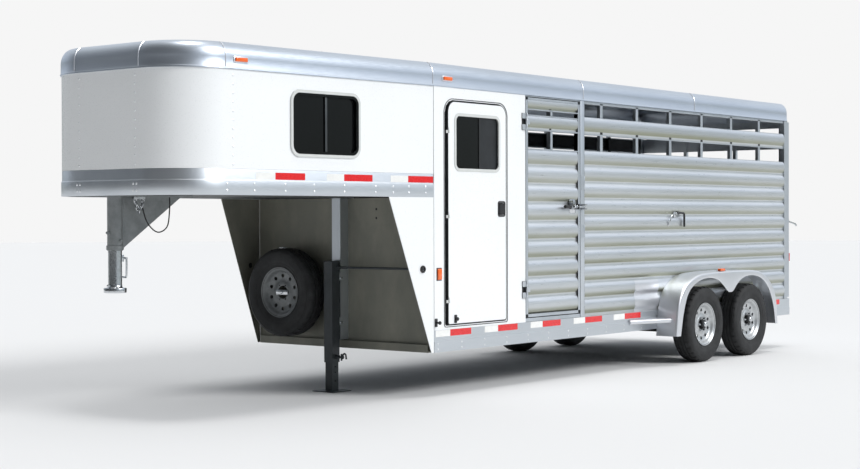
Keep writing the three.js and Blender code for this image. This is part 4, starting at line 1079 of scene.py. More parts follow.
@dataclass
class StockBody:
    """Slatted walls with two rows of air gaps, their posts, and the tie hook."""

    bulge: float = 0.015
    flat_share: float = 0.20
    row_low: Flat = (2.138, 2.291)
    row_high: Flat = (2.459, 2.584)
    posts: Sequence[float] = tuple(2.640 + 0.662 * i for i in range(6))
    wall_end: float = 6.569

    def slat_line(self, z0: float, z1: float, count: int) -> List[Flat]:
        """Outer line of a stack of slats as (depth out from the wall, z)."""
        pitch = (z1 - z0) / count
        shape = [(0.0, 0.0), (self.flat_share, 0.0), (0.245, 0.30), (0.30, 0.58), (0.36, 0.80),
                 (0.45, 0.95), (0.58, 1.0), (0.70, 0.985), (0.80, 0.90), (0.88, 0.72),
                 (0.945, 0.42), (0.985, 0.14)]
        line = [(b * self.bulge, z0 + (i + t) * pitch) for i in range(count) for t, b in shape]
        return line + [(0.0, z1)]

    def slat_sheet(
        self, name: str, x: Flat, z: Flat, count: int, side: Side = Side.ROAD
    ) -> Thing:
        """One rolled sheet of slats, as a thin skin over its backing.

        Args:
            name: The object's name.
            x: From and to along the trailer.
            z: From and to in height.
            count: Slats in it.
            side: Which side of the trailer.

        Returns:
            The sheet.
        """
        base = HALF - self.bulge + 0.0008
        line = [place(x[0], side.value * (base + d), h) for d, h in self.slat_line(*z, count)]
        back = [p - Vector((0, side.value * 0.0005, 0)) for p in reversed(line)]
        sheet = traced(name, line + back, True)
        pick(sheet, "VERT", lambda c, n: True)
        bpy.ops.mesh.extrude_region_move(TRANSFORM_OT_translate={"value": (x[1] - x[0], 0, 0)})
        bpy.ops.object.mode_set(mode="OBJECT")
        return settle(sheet)

    def build(self) -> None:
        """Build both walls."""
        for side, start in ((Side.ROAD, 2.3182), (Side.KERB, 1.3864)):
            tag = side.name.lower()
            span = (start, self.wall_end)
            low = self.slat_sheet(f"slats_{tag}_lower", span, (Z_RAIL_TOP + 0.0005, 2.138), 10, side)
            dress(low, SLATS, smooth=45)
            high = self.slat_sheet(f"slats_{tag}_upper", span, (2.291, 2.459), 1, side)
            dress(high, SLATS_HIGH, smooth=45)
            self.set_posts(side, start)
        self.set_door_post()
        self.hang_tie_hook()

    def set_posts(self, side: Side, start: float) -> None:
        """Bright faces of the posts, ledges and head beside the air gaps."""
        things = []
        spots = list(self.posts) + ([1.980] if side is Side.KERB else [])
        out, back = HALF - self.bulge + 0.0022, HALF - self.bulge - 0.034

        def block(x0: float, x1: float, z0: float, z1: float, face: float = out,
                  rear: float = back) -> None:
            """Add one bevelled bar between two depths on this side."""
            low_y, high_y = sorted((side.value * face, side.value * rear))
            things.append(eased_box("bar", place(x0, low_y, z0), place(x1, high_y, z1), 0.0015, 1))

        for x in spots:
            block(x - 0.0238, x + 0.0238, 2.138, 2.291)
            block(x - 0.0238, x + 0.0238, 2.459, 2.6)
        block(start, self.wall_end, 2.5838, Z_ROOF_LOW - 0.0006)
        block(start, self.wall_end, 2.128, 2.1392, out + 0.002, back + 0.01)
        block(start, self.wall_end, 2.2895, 2.302, out + 0.002, back + 0.01)
        block(start, self.wall_end, 2.449, 2.460, out + 0.002, back + 0.01)
        block(self.wall_end - 0.0108, self.wall_end + 0.0706, Z_RAIL_TOP + 0.001,
              Z_ROOF_LOW - 0.001, HALF + 0.0006, HALF - 0.0568)
        tag = side.name.lower()
        dress(settle(joined(f"wall_bars_{tag}", things)), MILL_UPRIGHT)

    def set_door_post(self) -> None:
        """Jamb and latch post either side of the stock door."""
        top = Z_ROOF_LOW - 0.001
        things = [
            eased_box("post", place(2.2455, -HALF - 0.0006, Z_RAIL_TOP + 0.001),
                      place(2.3185, -HALF + 0.03, top), 0.003, 2),
            eased_box("jamb", place(1.2748, -HALF + 0.0054, Z_RAIL_TOP + 0.001),
                      place(1.3364, -HALF + 0.058, top), 0.0015, 1),
            eased_box("sill", place(1.336, -HALF + 0.0050, Z_RAIL_TOP + 0.001),
                      place(2.246, -HALF + 0.040, 0.5935), 0.0015, 1),
            eased_box("head", place(1.336, -HALF + 0.0050, 2.5995),
                      place(2.246, -HALF + 0.040, top), 0.0015, 1),
        ]
        for z0, z1 in ((1.764, 1.906), (1.309, 1.442)):
            things.append(eased_box("strap", place(2.268, -HALF - 0.004, z0),
                                    place(2.300, -HALF + 0.002, z1), 0.0015, 1))
            things.append(rod("knuckle", place(2.309, -HALF - 0.002, z0 + 0.01),
                              place(2.309, -HALF - 0.002, z1 - 0.01), 0.008, 12))
        dress(settle(joined("stock_door_posts", things)), MILL_UPRIGHT)

    def hang_tie_hook(self) -> None:
        """Tie hook on the slats: plated bail with a black grip over its rear end."""
        y = -HALF - 0.022
        wire = bar("tie_hook_bail", [
            place(3.892, -HALF + 0.004, 1.412), place(3.905, y, 1.47), place(3.935, y, 1.532),
            place(4.03, y, 1.545), place(4.06, y, 1.546)], 0.006)
        plate = eased_box("tie_hook_plate", place(4.01, -HALF - 0.003, 1.50),
                          place(4.05, -HALF + 0.006, 1.56), 0.003, 2)
        arm = rod("tie_hook_arm", place(4.03, -HALF, 1.545), place(4.03, y - 0.004, 1.545), 0.007, 14)
        dress(settle(joined("tie_hook", [wire, plate, arm])), PLATED)
        grip = bar("tie_hook_grip", [
            place(4.045, y, 1.548), place(4.165, y, 1.548), place(4.186, y, 1.540),
            place(4.190, y, 1.52), place(4.190, y, 1.405)], 0.011)
        dress(grip, BLACK_MOULDED)


@dataclass
class StockDoor:
    """Side door for the stock: slats, frame, hinge leaves and the slam latch."""

    x: Flat = (1.343, 2.239)
    z: Flat = (0.600, 2.594)
    frame: float = 0.036
    gap_high: Flat = (2.437, 2.481)
    gap_low: Flat = (2.131, 2.297)
    latch_z: float = 1.605

    def build(self, walls: StockBody) -> None:
        """Build the door's skins, edges and latch.

        Args:
            walls: The walls whose slat shape it shares.
        """
        inner = (self.x[0] + self.frame, self.x[1] - self.frame)
        low = walls.slat_sheet("slats_door_lower", inner, (self.z[0] + 0.0002, 2.131), 9)
        dress(low, DOOR_SLATS, "stock_door", smooth=45)
        mid = walls.slat_sheet("slats_door_middle", inner, (2.297, 2.437), 1)
        top = walls.slat_sheet("slats_door_top", inner, (2.481, 2.5935), 1)
        dress(joined("slats_door_upper", [mid, top]), SLATS_HIGH, "stock_door", smooth=45)
        self.edge()
        self.hinges()
        self.latch()

    def hinges(self) -> None:
        """Mill aluminium skins over the hinge knuckles and leaves, fixed and moving."""
        axis_x, axis_y, third = 1.337, -HALF - 0.016, 0.050
        fixed, moving = [], []
        for z in (0.854, 2.371):
            for store, low in ((fixed, z - 0.075), (moving, z - 0.025), (fixed, z + 0.025)):
                store.append(rod("knuckle", place(axis_x, axis_y, low + 0.0006),
                                 place(axis_x, axis_y, low + third - 0.0006), 0.0096, 20))
                way = -1 if store is fixed else 1
                near, far = sorted((axis_x, axis_x + way * 0.0565))
                store.append(eased_box(
                    "leaf", place(near, axis_y + 0.0020, low + 0.0006),
                    place(far, axis_y + 0.0098, low + third - 0.0006), 0.001, 1))
        dress(settle(joined("stock_hinge_leaves_fixed", fixed)), MILL)
        dress(settle(joined("stock_hinge_leaves_moving", moving)), MILL, "stock_door")

    def edge(self) -> None:
        """Bright edge bars of the door and the divider in its air gaps."""
        things = []
        (x0, x1), (z0, z1) = self.x, self.z
        for a, b, c, d in (
            (x0 - 0.0004, x0 + self.frame, z0 - 0.0003, z1 + 0.0003),
            (x1 - self.frame, x1 + 0.0004, z0 - 0.0003, z1 + 0.0003),
            (x0, x1, z0 - 0.0004, z0 + 0.030), (x0, x1, z1 - 0.024, z1 + 0.0004),
            (1.7425, 1.7775, 2.125, 2.303), (1.7425, 1.7775, 2.431, 2.487),
            (x0 + 0.03, x1 - 0.03, 2.119, 2.132), (x0 + 0.03, x1 - 0.03, 2.296, 2.309),
            (x0 + 0.03, x1 - 0.03, 2.426, 2.438), (x0 + 0.03, x1 - 0.03, 2.480, 2.492),
        ):
            things.append(eased_box("bar", place(a, -HALF - 0.0006, c),
                                    place(b, -HALF + 0.044, d), 0.002, 1))
        dress(settle(joined("stock_door_edges", things)), MILL_UPRIGHT, "stock_door")

    def latch(self) -> None:
        """Slam latch: striker rod, grip, boss and its bracket on the door."""
        y, z = -HALF - 0.034, self.latch_z
        boss = rod("boss", place(2.0630, y, z), place(2.0730, y, z), 0.027, 24, 0.002)
        wings = [eased_box("wing", place(2.0632, y - 0.006, z + s * 0.014 - 0.012),
                           place(2.0728, y + 0.03, z + s * 0.060), 0.002, 2)
                 for s in (1,)]
        plate = eased_box("plate", place(2.058, -HALF - 0.003, z - 0.060),
                          place(2.152, -HALF + 0.003, z + 0.070), 0.006, 2)
        dress(settle(joined("slam_latch_bracket", [boss, plate] + wings)), PLATED, "stock_door")
        shaft = rod("slam_shaft", place(2.020, y, z), place(2.284, y, z), 0.0085, 20, 0.003)
        collar = rod("slam_collar", place(2.126, y, z), place(2.132, y, z), 0.0165, 24)
        dress(settle(joined("slam_rod", [shaft, collar])), PLATED, "slam_bolt")
        grip = turned("slam_grip", [
            (0, 0), (0.010, 0.0), (0.0155, 0.004), (0.0165, 0.012), (0.0145, 0.040),
            (0.0150, 0.075), (0.0170, 0.100), (0.0150, 0.106), (0, 0.106)], 20, False)
        grip.matrix_world = Matrix.Translation(place(1.928, y, z)) @ Matrix.Rotation(
            -math.pi / 2, 4, "Z")
        dress(settle(grip), BLACK_MOULDED, "slam_bolt", ["slam_bolt"])


# ------------------------------------------------------------------ entry door


@dataclass
class EntryDoor:
    """Walk-in door: surround, slab, gasket, window and flush paddle latch."""

    x: Flat = (0.138, 1.050)
    z: Flat = (0.581, 2.513)
    slab_x: Flat = (0.188, 1.028)
    slab_z: Flat = (0.601, 2.491)
    pane_x: Flat = (0.283, 0.927)
    pane_z: Flat = (1.912, 2.387)
    top: float = 0.120
    low: float = 0.020

    def at(self, span: Flat) -> Flat:
        """Shift a span along the trailer into the row frame."""
        return (span[0] + JOINT_X, span[1] + JOINT_X)

    def ring(
        self, name: str, x: Flat, z: Flat, by: float, y: Flat, radii: Flat, edge: float = 0.0
    ) -> Thing:
        """Flat ring of a given width with rounded corners.

        Args:
            name: The object's name.
            x: Outer span along the trailer.
            z: Outer span in height.
            by: Its width.
            y: Outer and inner face.
            radii: Bottom and top outer corner radius.
            edge: Bevel round the outer face.

        Returns:
            The ring.
        """
        outer = rounded_plate(name, self.at(x), z, y, *radii, 12, edge)
        hole = rounded_plate("hole", self.at((x[0] + by, x[1] - by)), (z[0] + by, z[1] - by),
                             (y[0] - 0.05, y[1] + 0.05),
                             max(radii[0] - by, 0.004), max(radii[1] - by, 0.004), 12)
        return cut(outer, hole)

    def build(self) -> None:
        """Build the door and its surround."""
        self.surround()
        self.leaf()
        self.window()
        self.paddle()

    def surround(self) -> None:
        """Grey extruded surround with a dark gasket inside it, and a dark ring round its outside as a painted
        shadow line.
        """
        body = rounded_plate("door_surround", self.at(self.x), self.z,
                             (-HALF - 0.0062, -HALF - 0.0004), self.low, self.top, 12, 0.003)
        tunnel = rounded_plate(
            "tunnel", self.at((self.x[0] + 0.010, self.x[1] - 0.010)),
            (self.z[0] + 0.010, self.z[1] - 0.010), (-HALF - 0.002, -HALF + 0.0398),
            self.low, self.top - 0.010, 12)
        hole = rounded_plate("hole", self.at((self.slab_x[0] - 0.004, self.slab_x[1] + 0.005)),
                             (self.slab_z[0] - 0.004, self.slab_z[1] + 0.004),
                             (-HALF - 0.05, -HALF + 0.08), self.low, self.top - 0.024, 12)
        frame_ring = joined("door_surround", [body, tunnel])
        cut(frame_ring, hole)
        knuckles = [frame_ring]
        for z in (0.820, 1.540, 2.260):
            knuckles.append(rod("knuckle", place(0.186, -HALF - 0.015, z - 0.0387),
                                place(0.186, -HALF - 0.015, z - 0.0133), 0.007, 16))
            knuckles.append(eased_box("leaf", place(0.156, -HALF - 0.0105, z - 0.0387),
                                      place(0.186, -HALF - 0.0052, z - 0.0133), 0.001, 1))
        dress(settle(joined("door_surround", knuckles)), SURROUND, replaces=["entry_frame"])
        seal = self.ring("door_gasket_and_painted_shadow", (self.slab_x[0] - 0.004, self.slab_x[1] + 0.005),
                         (self.slab_z[0] - 0.004, self.slab_z[1] + 0.004), 0.0036,
                         (-HALF - 0.0066, -HALF + 0.030), (self.low, self.top - 0.024))
        # dark ring just outside the surround: a painted shadow line, not a part
        edge = self.ring("edge", (self.x[0] - 0.005, self.x[1] + 0.005),
                         (self.z[0] - 0.005, self.z[1] + 0.005), 0.0055,
                         (-HALF - 0.0040, -HALF + 0.0002), (self.low + 0.005, self.top + 0.005))
        dress(settle(joined("door_gasket_and_painted_shadow", [seal, edge])), GASKET_AND_SHADOW_LINE)

    def leaf(self) -> None:
        """White leaf with a shallow raised edge and its hinge knuckles."""
        y0 = -HALF - 0.006
        leaf = rounded_plate("door_leaf", self.at(self.slab_x), self.slab_z, (y0, y0 + 0.032),
                             self.low, self.top - 0.028, 12, 0.003)
        pane = rounded_plate("pane", self.at(self.pane_x), self.pane_z, (y0 - 0.02, y0 + 0.06),
                             0.060, 0.060, 10)
        cut(leaf, pane)
        pocket = eased_box("pocket", place(0.915, y0 - 0.01, 1.528),
                           place(1.000, y0 + 0.018, 1.634), 0.006, 2)
        cut(leaf, pocket)
        parts = [leaf]
        for z in (0.820, 1.540, 2.260):
            parts.append(rod("knuckle", place(0.186, -HALF - 0.015, z - 0.0127),
                             place(0.186, -HALF - 0.015, z + 0.0127), 0.007, 16))
            parts.append(eased_box("leaf", place(0.186, -HALF - 0.0105, z - 0.0127),
                                   place(0.220, -HALF - 0.0052, z + 0.0127), 0.001, 1))
        dress(settle(joined("door_leaf", parts)), WHITE, "entry_door", ["entry_door"])

    def window(self) -> None:
        """Window trim on the leaf."""
        y0 = -HALF - 0.006
        trim = self.ring("door_window_trim", (self.pane_x[0] - 0.012, self.pane_x[1] + 0.012),
                         (self.pane_z[0] - 0.012, self.pane_z[1] + 0.012), 0.026,
                         (y0 - 0.005, y0 + 0.006), (0.070, 0.070), 0.003)
        dress(trim, SURROUND, "entry_door")
        mullion = eased_box("door_window_mullion", place(0.628, y0 + 0.001, self.pane_z[0] + 0.008),
                            place(0.650, y0 + 0.0075, self.pane_z[1] - 0.008), 0.002, 1)
        dress(mullion, BLACK_MOULDED, "entry_door")

    def paddle(self) -> None:
        """Black bezel, and the paddle that turns in it."""
        y0 = -HALF - 0.006
        bezel = self.ring("paddle_bezel", (0.903, 1.012), (1.512, 1.650), 0.014,
                          (y0 - 0.006, y0 + 0.001), (0.022, 0.022), 0.003)
        dish = eased_box("dish", place(0.916, y0 + 0.0158, 1.529),
                         place(0.999, y0 + 0.0178, 1.633), 0.0008, 1)
        dress(settle(joined("paddle_bezel", [bezel, dish])), BLACK_MOULDED, "entry_door")
        grip = rounded_plate("paddle_grip", self.at((0.919, 0.996)), (1.533, 1.629),
                             (y0 - 0.008, y0 + 0.006), 0.016, 0.016, 8, 0.004)
        dress(grip, BLACK_MOULDED, "entry_paddle", ["entry_paddle"])


# ------------------------------------------------------------------ base rail


@dataclass
class BaseRail:
    """Tape, rivets, markers and hold-backs on the base rails and front side sheets."""

    red: Sequence[Flat] = (
        (0.223, 0.522), (0.916, 1.217), (1.614, 1.912), (2.331, 2.633), (3.048, 3.353))
    white: Sequence[Flat] = (
        (0.021, 0.223), (0.716, 0.916), (1.421, 1.614), (2.132, 2.331), (2.843, 3.048))
    band: Flat = (0.500, 0.5555)

    def build(self) -> None:
        """Build what sits on the rails."""
        for name, spans, finish in (
            ("base_tape_red", self.red, TAPE_RED), ("base_tape_white", self.white, TAPE_WHITE),
        ):
            strips = [eased_box("strip", place(a + 0.001, -HALF + 0.0034, self.band[0]),
                                place(b - 0.001, -HALF + 0.0042, self.band[1]), 0.0002, 1)
                      for a, b in spans]
            rear = eased_box("strip", place(6.295, -HALF + 0.0034, 0.500),
                             place(6.440, -HALF + 0.0042, 0.5555), 0.0002, 1)
            if finish is TAPE_RED:
                strips.append(rear)
            else:
                bpy.data.objects.remove(rear)
            dress(settle(joined(name, strips)), finish)
        heads = []
        x = 0.05
        while x < 6.65:
            for z in (0.396, 0.442):
                heads += [Matrix.Translation(place(x, side * HALF, z))
                          @ (TO_ROAD if side < 0 else TO_ROAD @ Matrix.Rotation(math.pi, 4, "X"))
                          for side in (-1, 1)]
            x += 0.331
        heads = [m for m in heads if not (3.62 < m.translation.x - JOINT_X < 5.95)]
        dress(scattered("base_rail_rivets", dome("head", 0.0095, 0.0045), heads), RIVET)
        marker = eased_box("side_marker_lens", place(0.037, -HALF - 0.016, 0.982),
                           place(0.092, -HALF + 0.002, 1.076), 0.007, 3)
        dress(marker, LENS_AMBER)
        back = eased_box("side_marker_base", place(0.030, -HALF - 0.005, 0.975),
                         place(0.099, -HALF + 0.001, 1.083), 0.003, 2)
        dress(back, BLACK_MOULDED)
        self.fix_hold_backs()

    def fix_hold_backs(self) -> None:
        """Black door hold-backs low on the front side, and the round lock on the riser."""
        for name, x, z, face, reach, body in (
            ("wall_hold_back", 0.022, 0.622, HALF, 0.050, "trailer"),
            ("door_hold_back", 0.285, 0.642, HALF + 0.006, 0.030, "entry_door"),
        ):
            parts = [
                eased_box("base", place(x - 0.018, -face - 0.006, z - 0.035),
                          place(x + 0.018, -face + 0.001, z + 0.035), 0.004, 2),
                rod("stem", place(x, -face - 0.004, z), place(x, -face - reach + 0.010, z), 0.009, 16, 0.002),
                rod("bumper", place(x, -face - reach + 0.016, z), place(x, -face - reach, z),
                    0.016, 20, 0.005),
            ]
            dress(settle(joined(name, parts)), BLACK_MOULDED, body)
        ring = turned("crank_port_ring", [
            (0.015, -0.012), (0.019, -0.0135), (0.027, -0.0125), (0.0305, -0.009), (0.0305, 0.0),
            (0.015, 0.0)], 32)
        ring.matrix_world = (NOSE_TURN @ Matrix.Translation((-0.142, 0, 1.076)))
        dress(settle(ring), BLACK_MOULDED)
        plug = rod("kerb_port_plug", Vector((-0.142, -0.0030, 1.076)),
                   Vector((-0.142, 0.0080, 1.076)), 0.024, 28, 0.002)
        plug.matrix_world = Matrix.Scale(-1, 4, (0, 1, 0)) @ NOSE_TURN @ plug.matrix_world
        dress(settle(plug), BLACK_MOULDED)


# ------------------------------------------------------------------ running gear


@dataclass
class Fenders:
    """Smooth rolled fenders over both wheels, the gravel sheet and the step."""

    top: Sequence[Flat] = (
        (3.650, 0.300), (3.672, 0.450), (3.702, 0.620), (3.770, 0.740), (3.880, 0.830),
        (4.040, 0.892), (4.250, 0.926), (4.805, 0.936), (5.360, 0.926), (5.560, 0.886),
        (5.720, 0.806), (5.830, 0.700), (5.892, 0.560), (5.920, 0.318))
    arch: Sequence[Flat] = (
        (5.862, 0.318), (5.812, 0.532), (5.690, 0.728), (5.520, 0.838), (5.310, 0.876),
        (5.090, 0.858), (4.950, 0.790), (4.862, 0.724), (4.805, 0.712), (4.748, 0.724),
        (4.660, 0.784), (4.520, 0.852), (4.300, 0.876), (4.080, 0.838), (3.900, 0.735),
        (3.800, 0.545), (3.738, 0.300))
    out: float = WHEEL_OUT + 0.012
    inner: float = HALF + 0.001
    wall: float = 0.004
    roll: float = 0.024

    def build(self) -> None:
        """Build the fenders and what stands beside them."""
        left = self.shell("fender_shell_road")
        right = kerb_copy(left, "fender_shell_kerb")
        dress(left, BRIGHT, replaces=["fender_left"], smooth=50)
        dress(right, BRIGHT, replaces=["fender_right"], smooth=50)
        arch = smooth_line(self.arch, 4)
        bead = bar("fender_edge_road", [place(x, -self.out + 0.0055, z) for x, z in arch],
                   0.0055, 3, False)
        other = kerb_copy(bead, "fender_edge_kerb")
        dress(bead, BRIGHT)
        dress(other, BRIGHT)
        self.lamp()
        self.guard()
        self.step()

    def shell(self, name: str) -> Thing:
        """Pressed shell: side skirt, rolled shoulder and top, one wall thick."""
        upper, lower = smooth_line(self.top, 4), smooth_line(self.arch, 4)
        outline = [place(x, -self.out, z) for x, z in upper + lower]
        obj = traced(name, outline, True, True)
        crown = [Vector((JOINT_X + x, -self.out, z)) for x, z in upper]

        def on_top(c: Vector, n: Vector) -> bool:
            """Whether an edge's middle lies on the crown line."""
            return any((c - (a + b) / 2).length < 1e-4 for a, b in zip(crown, crown[1:]))

        pick(obj, "EDGE", on_top)
        bpy.ops.mesh.extrude_edges_move(
            TRANSFORM_OT_translate={"value": (0, self.out - self.inner, 0)})
        pick(obj, "EDGE", on_top)
        bpy.ops.mesh.bevel(offset=self.roll, segments=5, affect="EDGES")
        bpy.ops.mesh.select_all(action="SELECT")
        bpy.ops.mesh.quads_convert_to_tris()
        bpy.ops.mesh.normals_make_consistent(inside=False)
        bpy.ops.object.mode_set(mode="OBJECT")
        face = max(obj.data.polygons, key=lambda p: -p.center.y)
        if face.normal.y > 0:
            work_on(obj)
            bpy.ops.object.mode_set(mode="EDIT")
            bpy.ops.mesh.select_all(action="SELECT")
            bpy.ops.mesh.flip_normals()
            bpy.ops.object.mode_set(mode="OBJECT")
        return applied(obj, "SOLIDIFY", thickness=self.wall, offset=-1)

    def lamp(self) -> None:
        """Side lamp on the crown of the road-side fender."""
        base = eased_box("fender_lamp_base", place(4.590, -self.out + 0.012, 0.926),
                         place(4.712, -self.out + 0.060, 0.938), 0.003, 2)
        dress(base, BLACK_MOULDED)
        lens = eased_box("fender_lamp_lens", place(4.600, -self.out + 0.0085, 0.934),
                         place(4.702, -self.out + 0.050, 0.962), 0.008, 3)
        dress(lens, LENS_AMBER)

    def guard(self) -> None:
        """Bright gravel sheet on the wall ahead of the fender, with its screws."""
        sheet = StockBody().slat_sheet(
            "gravel_sheet", (3.239, 3.700), (Z_RAIL_TOP + 0.0005, Z_RAIL_TOP + 2 * SLAT_PITCH), 2)
        sheet.location.y = -0.0012
        dress(settle(sheet), BRIGHT, smooth=45)
        heads = [Matrix.Translation(place(3.252, -HALF - 0.0008, 0.62 + 0.158 * i)) @ TO_ROAD
                 for i in range(2)]
        dress(scattered("gravel_sheet_screws", dome("head", 0.006, 0.003), heads), PLATED)

    def step(self) -> None:
        """Bull-nosed step board ahead of the fender."""
        outline = [place(3.125, -HALF - 0.001, 0.436), place(3.125, -HALF - 0.020, 0.436),
                   place(3.645, -HALF - 0.178, 0.436), place(3.662, -HALF - 0.150, 0.436),
                   place(3.662, -HALF - 0.001, 0.436)]
        board = slab("step_board", outline, Vector((0, 0, 0.050)))
        pick(board, "EDGE", lambda c, n: c.y < -HALF - 0.012 and (
            abs(c.z - 0.436) < 1e-4 or abs(c.z - 0.486) < 1e-4))
        bpy.ops.mesh.bevel(offset=0.018, segments=5, affect="EDGES")
        bpy.ops.object.mode_set(mode="OBJECT")
        dress(settle(board), BRIGHT, replaces=["step_left"], smooth=50)


@dataclass
class Wheel:
    """Tyre, rim, hub and nuts, modelled once and copied to each corner."""

    holes: int = 10
    hole_r: float = 0.017
    hole_at: float = 0.146
    nuts: int = 6
    nut_at: float = 0.06985
    parts: Dict[str, Thing] = field(default_factory=dict)

    def make(self) -> None:
        """Model the master parts round the Y axis, outer face at y = 0."""
        self.parts["tyre"] = self.tyre()
        self.parts["rim"] = self.rim()
        self.parts["hub"] = turned("hub", [
            (0, 0.024), (0.030, 0.024), (0.036, 0.027), (0.046, 0.030), (0.047, 0.034),
            (0.047, 0.150), (0.0, 0.150)], 32, False)
        self.parts["cap"] = turned("cap", [
            (0, 0.004), (0.014, 0.0045), (0.023, 0.007), (0.0275, 0.012), (0.028, 0.030),
            (0, 0.030)], 28, False)
        self.parts["nuts"] = self.nut_ring()

    def tyre(self) -> Thing:
        """Radial tyre: beads, sidewall rings, shoulder blocks and three tread grooves."""
        half = [
            (0.2095, 0.0275), (0.2125, 0.0245), (0.2180, 0.0240), (0.2240, 0.0255),
            (0.2300, 0.0240), (0.2420, 0.0150), (0.2600, 0.0070), (0.2640, 0.0072),
            (0.2660, 0.0055), (0.2900, 0.0015), (0.3250, 0.0002), (0.3440, 0.0022),
            (0.3460, 0.0044), (0.3500, 0.0046), (0.3520, 0.0032), (0.3640, 0.0090),
            (0.3760, 0.0175), (0.3850, 0.0290), (0.3885, 0.0380)]
        tread = [(0.3893, 0.0440), (0.3905, 0.0650), (0.3830, 0.0660), (0.3830, 0.0730),
                 (0.3906, 0.0740), (0.3909, 0.1035), (0.3830, 0.1040)]
        side = half + tread
        other = [(r, TYRE_W - w) for r, w in reversed(side)]
        inside = [(0.2095, TYRE_W - 0.040), (0.3600, TYRE_W - 0.030), (0.3600, 0.030),
                  (0.2095, 0.040)]
        tyre = turned("tyre", side + other + inside, 96)
        lugs = 96

        def shoulder(c: Vector, n: Vector) -> bool:
            """Every second face of the shoulder and of the outer tread ribs."""
            r = math.hypot(c.x, c.z)
            turn = int(round((math.atan2(c.z, c.x) / (2 * math.pi)) * lugs - 0.5))
            return r > 0.379 and turn % 3 == 0 and (
                0.018 < c.y < 0.066 or TYRE_W - 0.066 < c.y < TYRE_W - 0.018)

        pick(tyre, "FACE", shoulder)
        bpy.ops.mesh.inset(thickness=0.0015)
        bpy.ops.mesh.extrude_region_shrink_fatten(TRANSFORM_OT_shrink_fatten={"value": -0.006})
        bpy.ops.object.mode_set(mode="OBJECT")
        return tyre

    def rim(self) -> Thing:
        """Steel wheel: rolled lip, drop, disc with round hand holes and lug seats."""
        rim = turned("rim", [
            (0.0560, 0.0665), (0.0580, 0.0625), (0.0820, 0.0600), (0.0920, 0.0650),
            (0.1080, 0.0700), (0.1300, 0.0690), (0.1620, 0.0645), (0.1740, 0.0590),
            (0.1810, 0.0540), (0.1900, 0.0400), (0.1985, 0.0315), (0.2060, 0.0280),
            (0.2140, 0.0245), (0.2190, 0.0195), (0.2218, 0.0192), (0.2224, 0.0215),
            (0.2205, 0.0238), (0.2140, 0.0262), (0.2075, 0.0290), (0.2070, 0.0500),
            (0.2000, 0.0650), (0.2000, 0.1500), (0.2068, 0.1650), (0.2068, 0.1880),
            (0.2216, 0.1905), (0.2216, 0.1958), (0.1990, 0.1955), (0.1925, 0.1600),
            (0.1925, 0.0760), (0.1780, 0.0700), (0.1640, 0.0715), (0.1300, 0.0760),
            (0.1080, 0.0770), (0.0900, 0.0720), (0.0560, 0.0720)], 80)
        for i in range(self.holes):
            a = 2 * math.pi * (i + 0.5) / self.holes
            at = Vector((self.hole_at * math.cos(a), 0, self.hole_at * math.sin(a)))
            cut(rim, rod("hole", at + Vector((0, 0.03, 0)), at + Vector((0, 0.10, 0)),
                         self.hole_r, 20))
        for i in range(self.nuts):
            a = 2 * math.pi * i / self.nuts
            at = Vector((self.nut_at * math.cos(a), 0, self.nut_at * math.sin(a)))
            cut(rim, rod("hole", at + Vector((0, 0.04, 0)), at + Vector((0, 0.10, 0)),
                         0.0078, 14))
        return settle(rim)

    def nut_ring(self) -> Thing:
        """Six plated lug nuts with domed ends."""
        master = turned("nut", [
            (0, 0.034), (0.006, 0.0345), (0.0095, 0.038), (0.0115, 0.044), (0.0118, 0.060),
            (0, 0.060)], 6, False)
        spots = []
        for i in range(self.nuts):
            a = 2 * math.pi * i / self.nuts
            spots.append(Matrix.Translation(
                (self.nut_at * math.cos(a), 0, self.nut_at * math.sin(a))))
        return scattered("nuts", master, spots)

    def fit(self, tag: str, turn: float, at: Vector, body: str) -> None:
        """Copy a road wheel to its corner.

        Args:
            tag: End of each piece's name.
            turn: Turn about Z that faces it outwards.
            at: Where the middle of its outer face goes.
            body: The body it turns with.
        """
        where = Matrix.Translation(at) @ Matrix.Rotation(turn, 4, "Z")
        for part, finish, node in (
            ("tyre", RUBBER, [f"tyre_{tag}"]), ("rim", WHEEL_SILVER, [f"rim_{tag}"]),
            ("hub", HUB_BLACK, [f"hub_{tag}"]), ("cap", PLATED, []), ("nuts", PLATED, []),
        ):
            twin = settle(copied(self.parts[part], where))
            twin.name = f"wheel_{part}_{tag}"
            dress(twin, finish, body, node, 40)

    def fit_spare(self) -> None:
        """Hang the spare on the front wall, with its clip and nuts."""
        at = place(-0.096 - TYRE_W, 0.495, 0.850)
        where = Matrix.Translation(at) @ Matrix.Rotation(-math.pi / 2, 4, "Z")
        for part, finish, node in (
            ("tyre", RUBBER, ["spare_tyre"]), ("rim", SPARE_GREY, ["spare_rim"]),
        ):
            twin = settle(copied(self.parts[part], where))
            twin.name = f"spare_wheel_{part}"
            dress(twin, finish, "trailer", node, 40)
        plate = eased_box("plate", place(-0.262, 0.425, 0.828), place(-0.250, 0.565, 0.872), 0.004, 2)
        nut = rod("nut", place(-0.276, 0.495, 0.850), place(-0.260, 0.495, 0.850), 0.015, 6)
        clip = eased_box("clip", place(-0.250, 0.455, 1.236), place(-0.190, 0.535, 1.2475), 0.004, 2)
        dress(settle(joined("spare_wheel_clamp", [plate, nut, clip])), PLATED)

    def clear(self) -> None:
        """Drop the masters."""
        for thing in self.parts.values():
            bpy.data.objects.remove(thing)


# ------------------------------------------------------------------ hitch and jack


